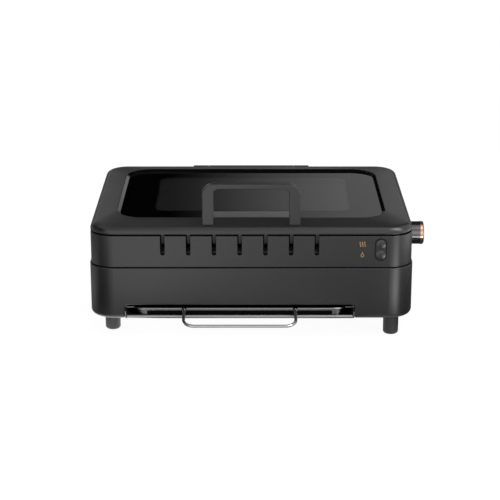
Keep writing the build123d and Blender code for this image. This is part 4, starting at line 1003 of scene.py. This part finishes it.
# %% Cross-head screws
SMALL = (1.2 * MM, 2.2 * MM, 1.4 * MM)  # shank radius, head radius, head height
LARGE = (1.75 * MM, 3.4 * MM, 2.2 * MM)
DOME = 0.6  # of the head's height
TIP = 0.7  # of the shank's radius
CROSS_LENGTH, CROSS_WIDTH = 1.24, 0.26  # of the head's radius
CROSS_DEPTH = 1.1  # twice the depth of the cut, of the head's height
UP, DOWN = Matrix(), Matrix.Rotation(math.pi, 4, "X")
BACK, FORWARD = Matrix.Rotation(-math.pi / 2, 4, "X"), Matrix.Rotation(math.pi / 2, 4, "X")
# each set: its body, size, length (mm), the way its heads face, and the places of its heads (mm)
SCREW_SETS = {
    "hinge_screws": ("base", SMALL, 10.4, BACK, [
        (x, 173.65, z) for x in (-82.2, 63.5) for z in (118.6, 124.4)]),
    "cover_screws": ("base", SMALL, 10.4, UP, [(192.65, y, 139.4) for y in (-94.25, 15.75, 125.75)]),
    "barrel_screws": ("lid", SMALL, 6.9, FORWARD, [(x, 164.85, 143.3) for x in (-49.35, -9.35, 30.65)]),
    "retainer_screws": ("lid", SMALL, 7.4, DOWN, [
        (x, y, 142.2) for x in (-122.55, 103.85) for y in (-108.95, 145.95)] + [
        (x, y, 142.2) for x in (-193.85, 175.15) for y in (-52.65, 89.65)]),
    "handle_screws": ("lid", LARGE, 18.8, DOWN, [(x, -122.75, 143.7) for x in (-65.15, 46.45)]),
    "foot_screws": ("base", LARGE, 28.5, DOWN, [
        (-192.35, -100.25, 7.8), (173.65, -118.25, 7.8), (-192.35, 145.75, 7.8), (173.65, 145.75, 7.8)]),
    "housing_screws": ("base", LARGE, 26.7, DOWN, [
        (x, y, 82.3) for x in (-205.35, 186.65) for y in (-84.25, 115.75)]),
}
UNEVEN_TURN = math.radians(37)


def cut_cross(screw, head_r, head_h):
    for blade_turn in (0, math.pi / 2):
        blade = add_primitive(bpy.ops.mesh.primitive_cube_add, size=1, rotation=(0, 0, blade_turn))
        blade.scale = (CROSS_LENGTH * head_r, CROSS_WIDTH * head_r, CROSS_DEPTH * head_h)
        bpy.ops.object.transform_apply(location=True, rotation=True, scale=True)
        apply_modifier(screw, "BOOLEAN", operation="DIFFERENCE", object=blade, solver="EXACT")
        bpy.data.objects.remove(blade)


def pan_head_screw(size, length):
    """A screw whose head ends at the origin and whose shank points down."""
    shank_r, head_r, head_h = size
    screw = add_primitive(bpy.ops.mesh.primitive_cylinder_add, vertices=32, radius=head_r, depth=head_h,
                          location=(0, 0, -head_h / 2))
    bpy.ops.object.transform_apply(location=True, rotation=True, scale=True)
    bpy.ops.object.mode_set(mode="EDIT")
    pick_edges(lambda a, b: a.z > -0.01 * MM and b.z > -0.01 * MM)
    bpy.ops.mesh.bevel(offset=DOME * head_h, segments=5, affect="EDGES")
    pick_faces(lambda middle, normal: normal.z < -0.9)
    bpy.ops.mesh.inset(thickness=head_r - shank_r)
    bpy.ops.mesh.extrude_region_move(TRANSFORM_OT_translate={"value": (0, 0, -(length * MM - head_h))})
    bpy.ops.transform.resize(value=(TIP, TIP, 1), center_override=(0, 0, 0))
    bpy.ops.object.mode_set(mode="OBJECT")
    cut_cross(screw, head_r, head_h)
    return screw


def screw_set(name, body, size, length, facing, places):
    pattern = pan_head_screw(size, length)
    copies = []
    for number, place in enumerate(places):
        spin = Matrix.Rotation(number * UNEVEN_TURN, 4, "Z")
        copies.append(copy_mesh(pattern, Matrix.Translation(Vector(place) * MM) @ facing @ spin))
    bpy.data.objects.remove(pattern)
    steel = finishes["screw_steel"].material
    return finish_piece(join_pieces(copies), "cross_head_" + name, steel, body, angle=30)


for node_name, (body, size, length, facing, places) in SCREW_SETS.items():
    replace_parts(screw_set(node_name, body, size, length, facing, places), node_name)
print("screws:", sum(len(row[-1]) for row in SCREW_SETS.values()))

# %% [markdown]
# ## Knob pointer and dial marks
# A thermostat knob needs a pointer and a scale to point at. The pointer is a gold strip laid into the
# groove in the knob's end, so it turns with the knob. The scale is printed on the housing: short strokes
# round the knob that grow longer as the heat rises. One stroke is modelled, and each copy of it is drawn
# out to its own length and turned round the knob's axis.

# %% Knob pointer and dial marks
knob_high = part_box("control_knob")[1]
knob_middle = box_middle("control_knob")
KNOB_R = knob_high.z - knob_middle.z
POINTER = (0.5 * MM, 1.15 * MM, KNOB_R - 4.2 * MM)
POINTER_SINK = 0.52 * MM
POINTER_START = 0.6 * MM
DIAL_R = KNOB_R + 2.0 * MM
DIAL_TURN = math.radians(270)
DIAL_MARKS = 9
MARK_LENGTH = 1.0 * MM
MARK_GROWTH = 1.0 * MM
MARK_WIDTH = 0.7 * MM
MARK_ROUND = 0.3 * MM
side_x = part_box("upper_housing")[1].x


def knob_pointer():
    place = (knob_high.x - POINTER_SINK, knob_middle.y, knob_middle.z + POINTER_START + POINTER[2] / 2)
    strip = add_primitive(bpy.ops.mesh.primitive_cube_add, size=1, location=place)
    strip.scale = POINTER
    bpy.ops.object.transform_apply(location=True, rotation=True, scale=True)
    apply_modifier(strip, "BEVEL", width=0.15 * MM, segments=3)
    return finish_piece(strip, "knob_pointer", gold, "knob", angle=60)


def dial_mark():
    """The shortest stroke, above the knob."""
    place = (side_x, knob_middle.y, knob_middle.z + DIAL_R + MARK_LENGTH / 2)
    mark = add_primitive(bpy.ops.mesh.primitive_cube_add, size=1, location=place)
    mark.scale = (2 * PRINT_DEPTH, MARK_WIDTH, MARK_LENGTH)
    bpy.ops.object.transform_apply(location=True, rotation=True, scale=True)
    bpy.ops.object.mode_set(mode="EDIT")
    pick_edges(lambda a, b: abs(a.x - b.x) > PRINT_DEPTH)
    bpy.ops.mesh.bevel(offset=MARK_ROUND, segments=4, affect="EDGES")
    bpy.ops.object.mode_set(mode="OBJECT")
    return mark


def dial_scale():
    first = dial_mark()
    axis = Matrix.Translation((0, knob_middle.y, knob_middle.z))
    half_way = knob_middle.z + DIAL_R + MARK_LENGTH / 2
    marks = []
    for number in range(DIAL_MARKS):
        share = number / (DIAL_MARKS - 1)
        mark = copy_mesh(first, Matrix())
        for vertex in mark.data.vertices:
            if vertex.co.z > half_way:
                vertex.co.z += share * MARK_GROWTH
        turn = Matrix.Rotation((share - 0.5) * DIAL_TURN, 4, "X")
        mark.data.transform(axis @ turn @ axis.inverted())
        marks.append(mark)
    bpy.data.objects.remove(first)
    return finish_piece(join_pieces(marks), "dial_scale", gold, "base", angle=60)


pointer = knob_pointer()
scale = dial_scale()
print("pointer:", [round(side, 4) for side in pointer.dimensions], "dial faces:", len(scale.data.polygons))
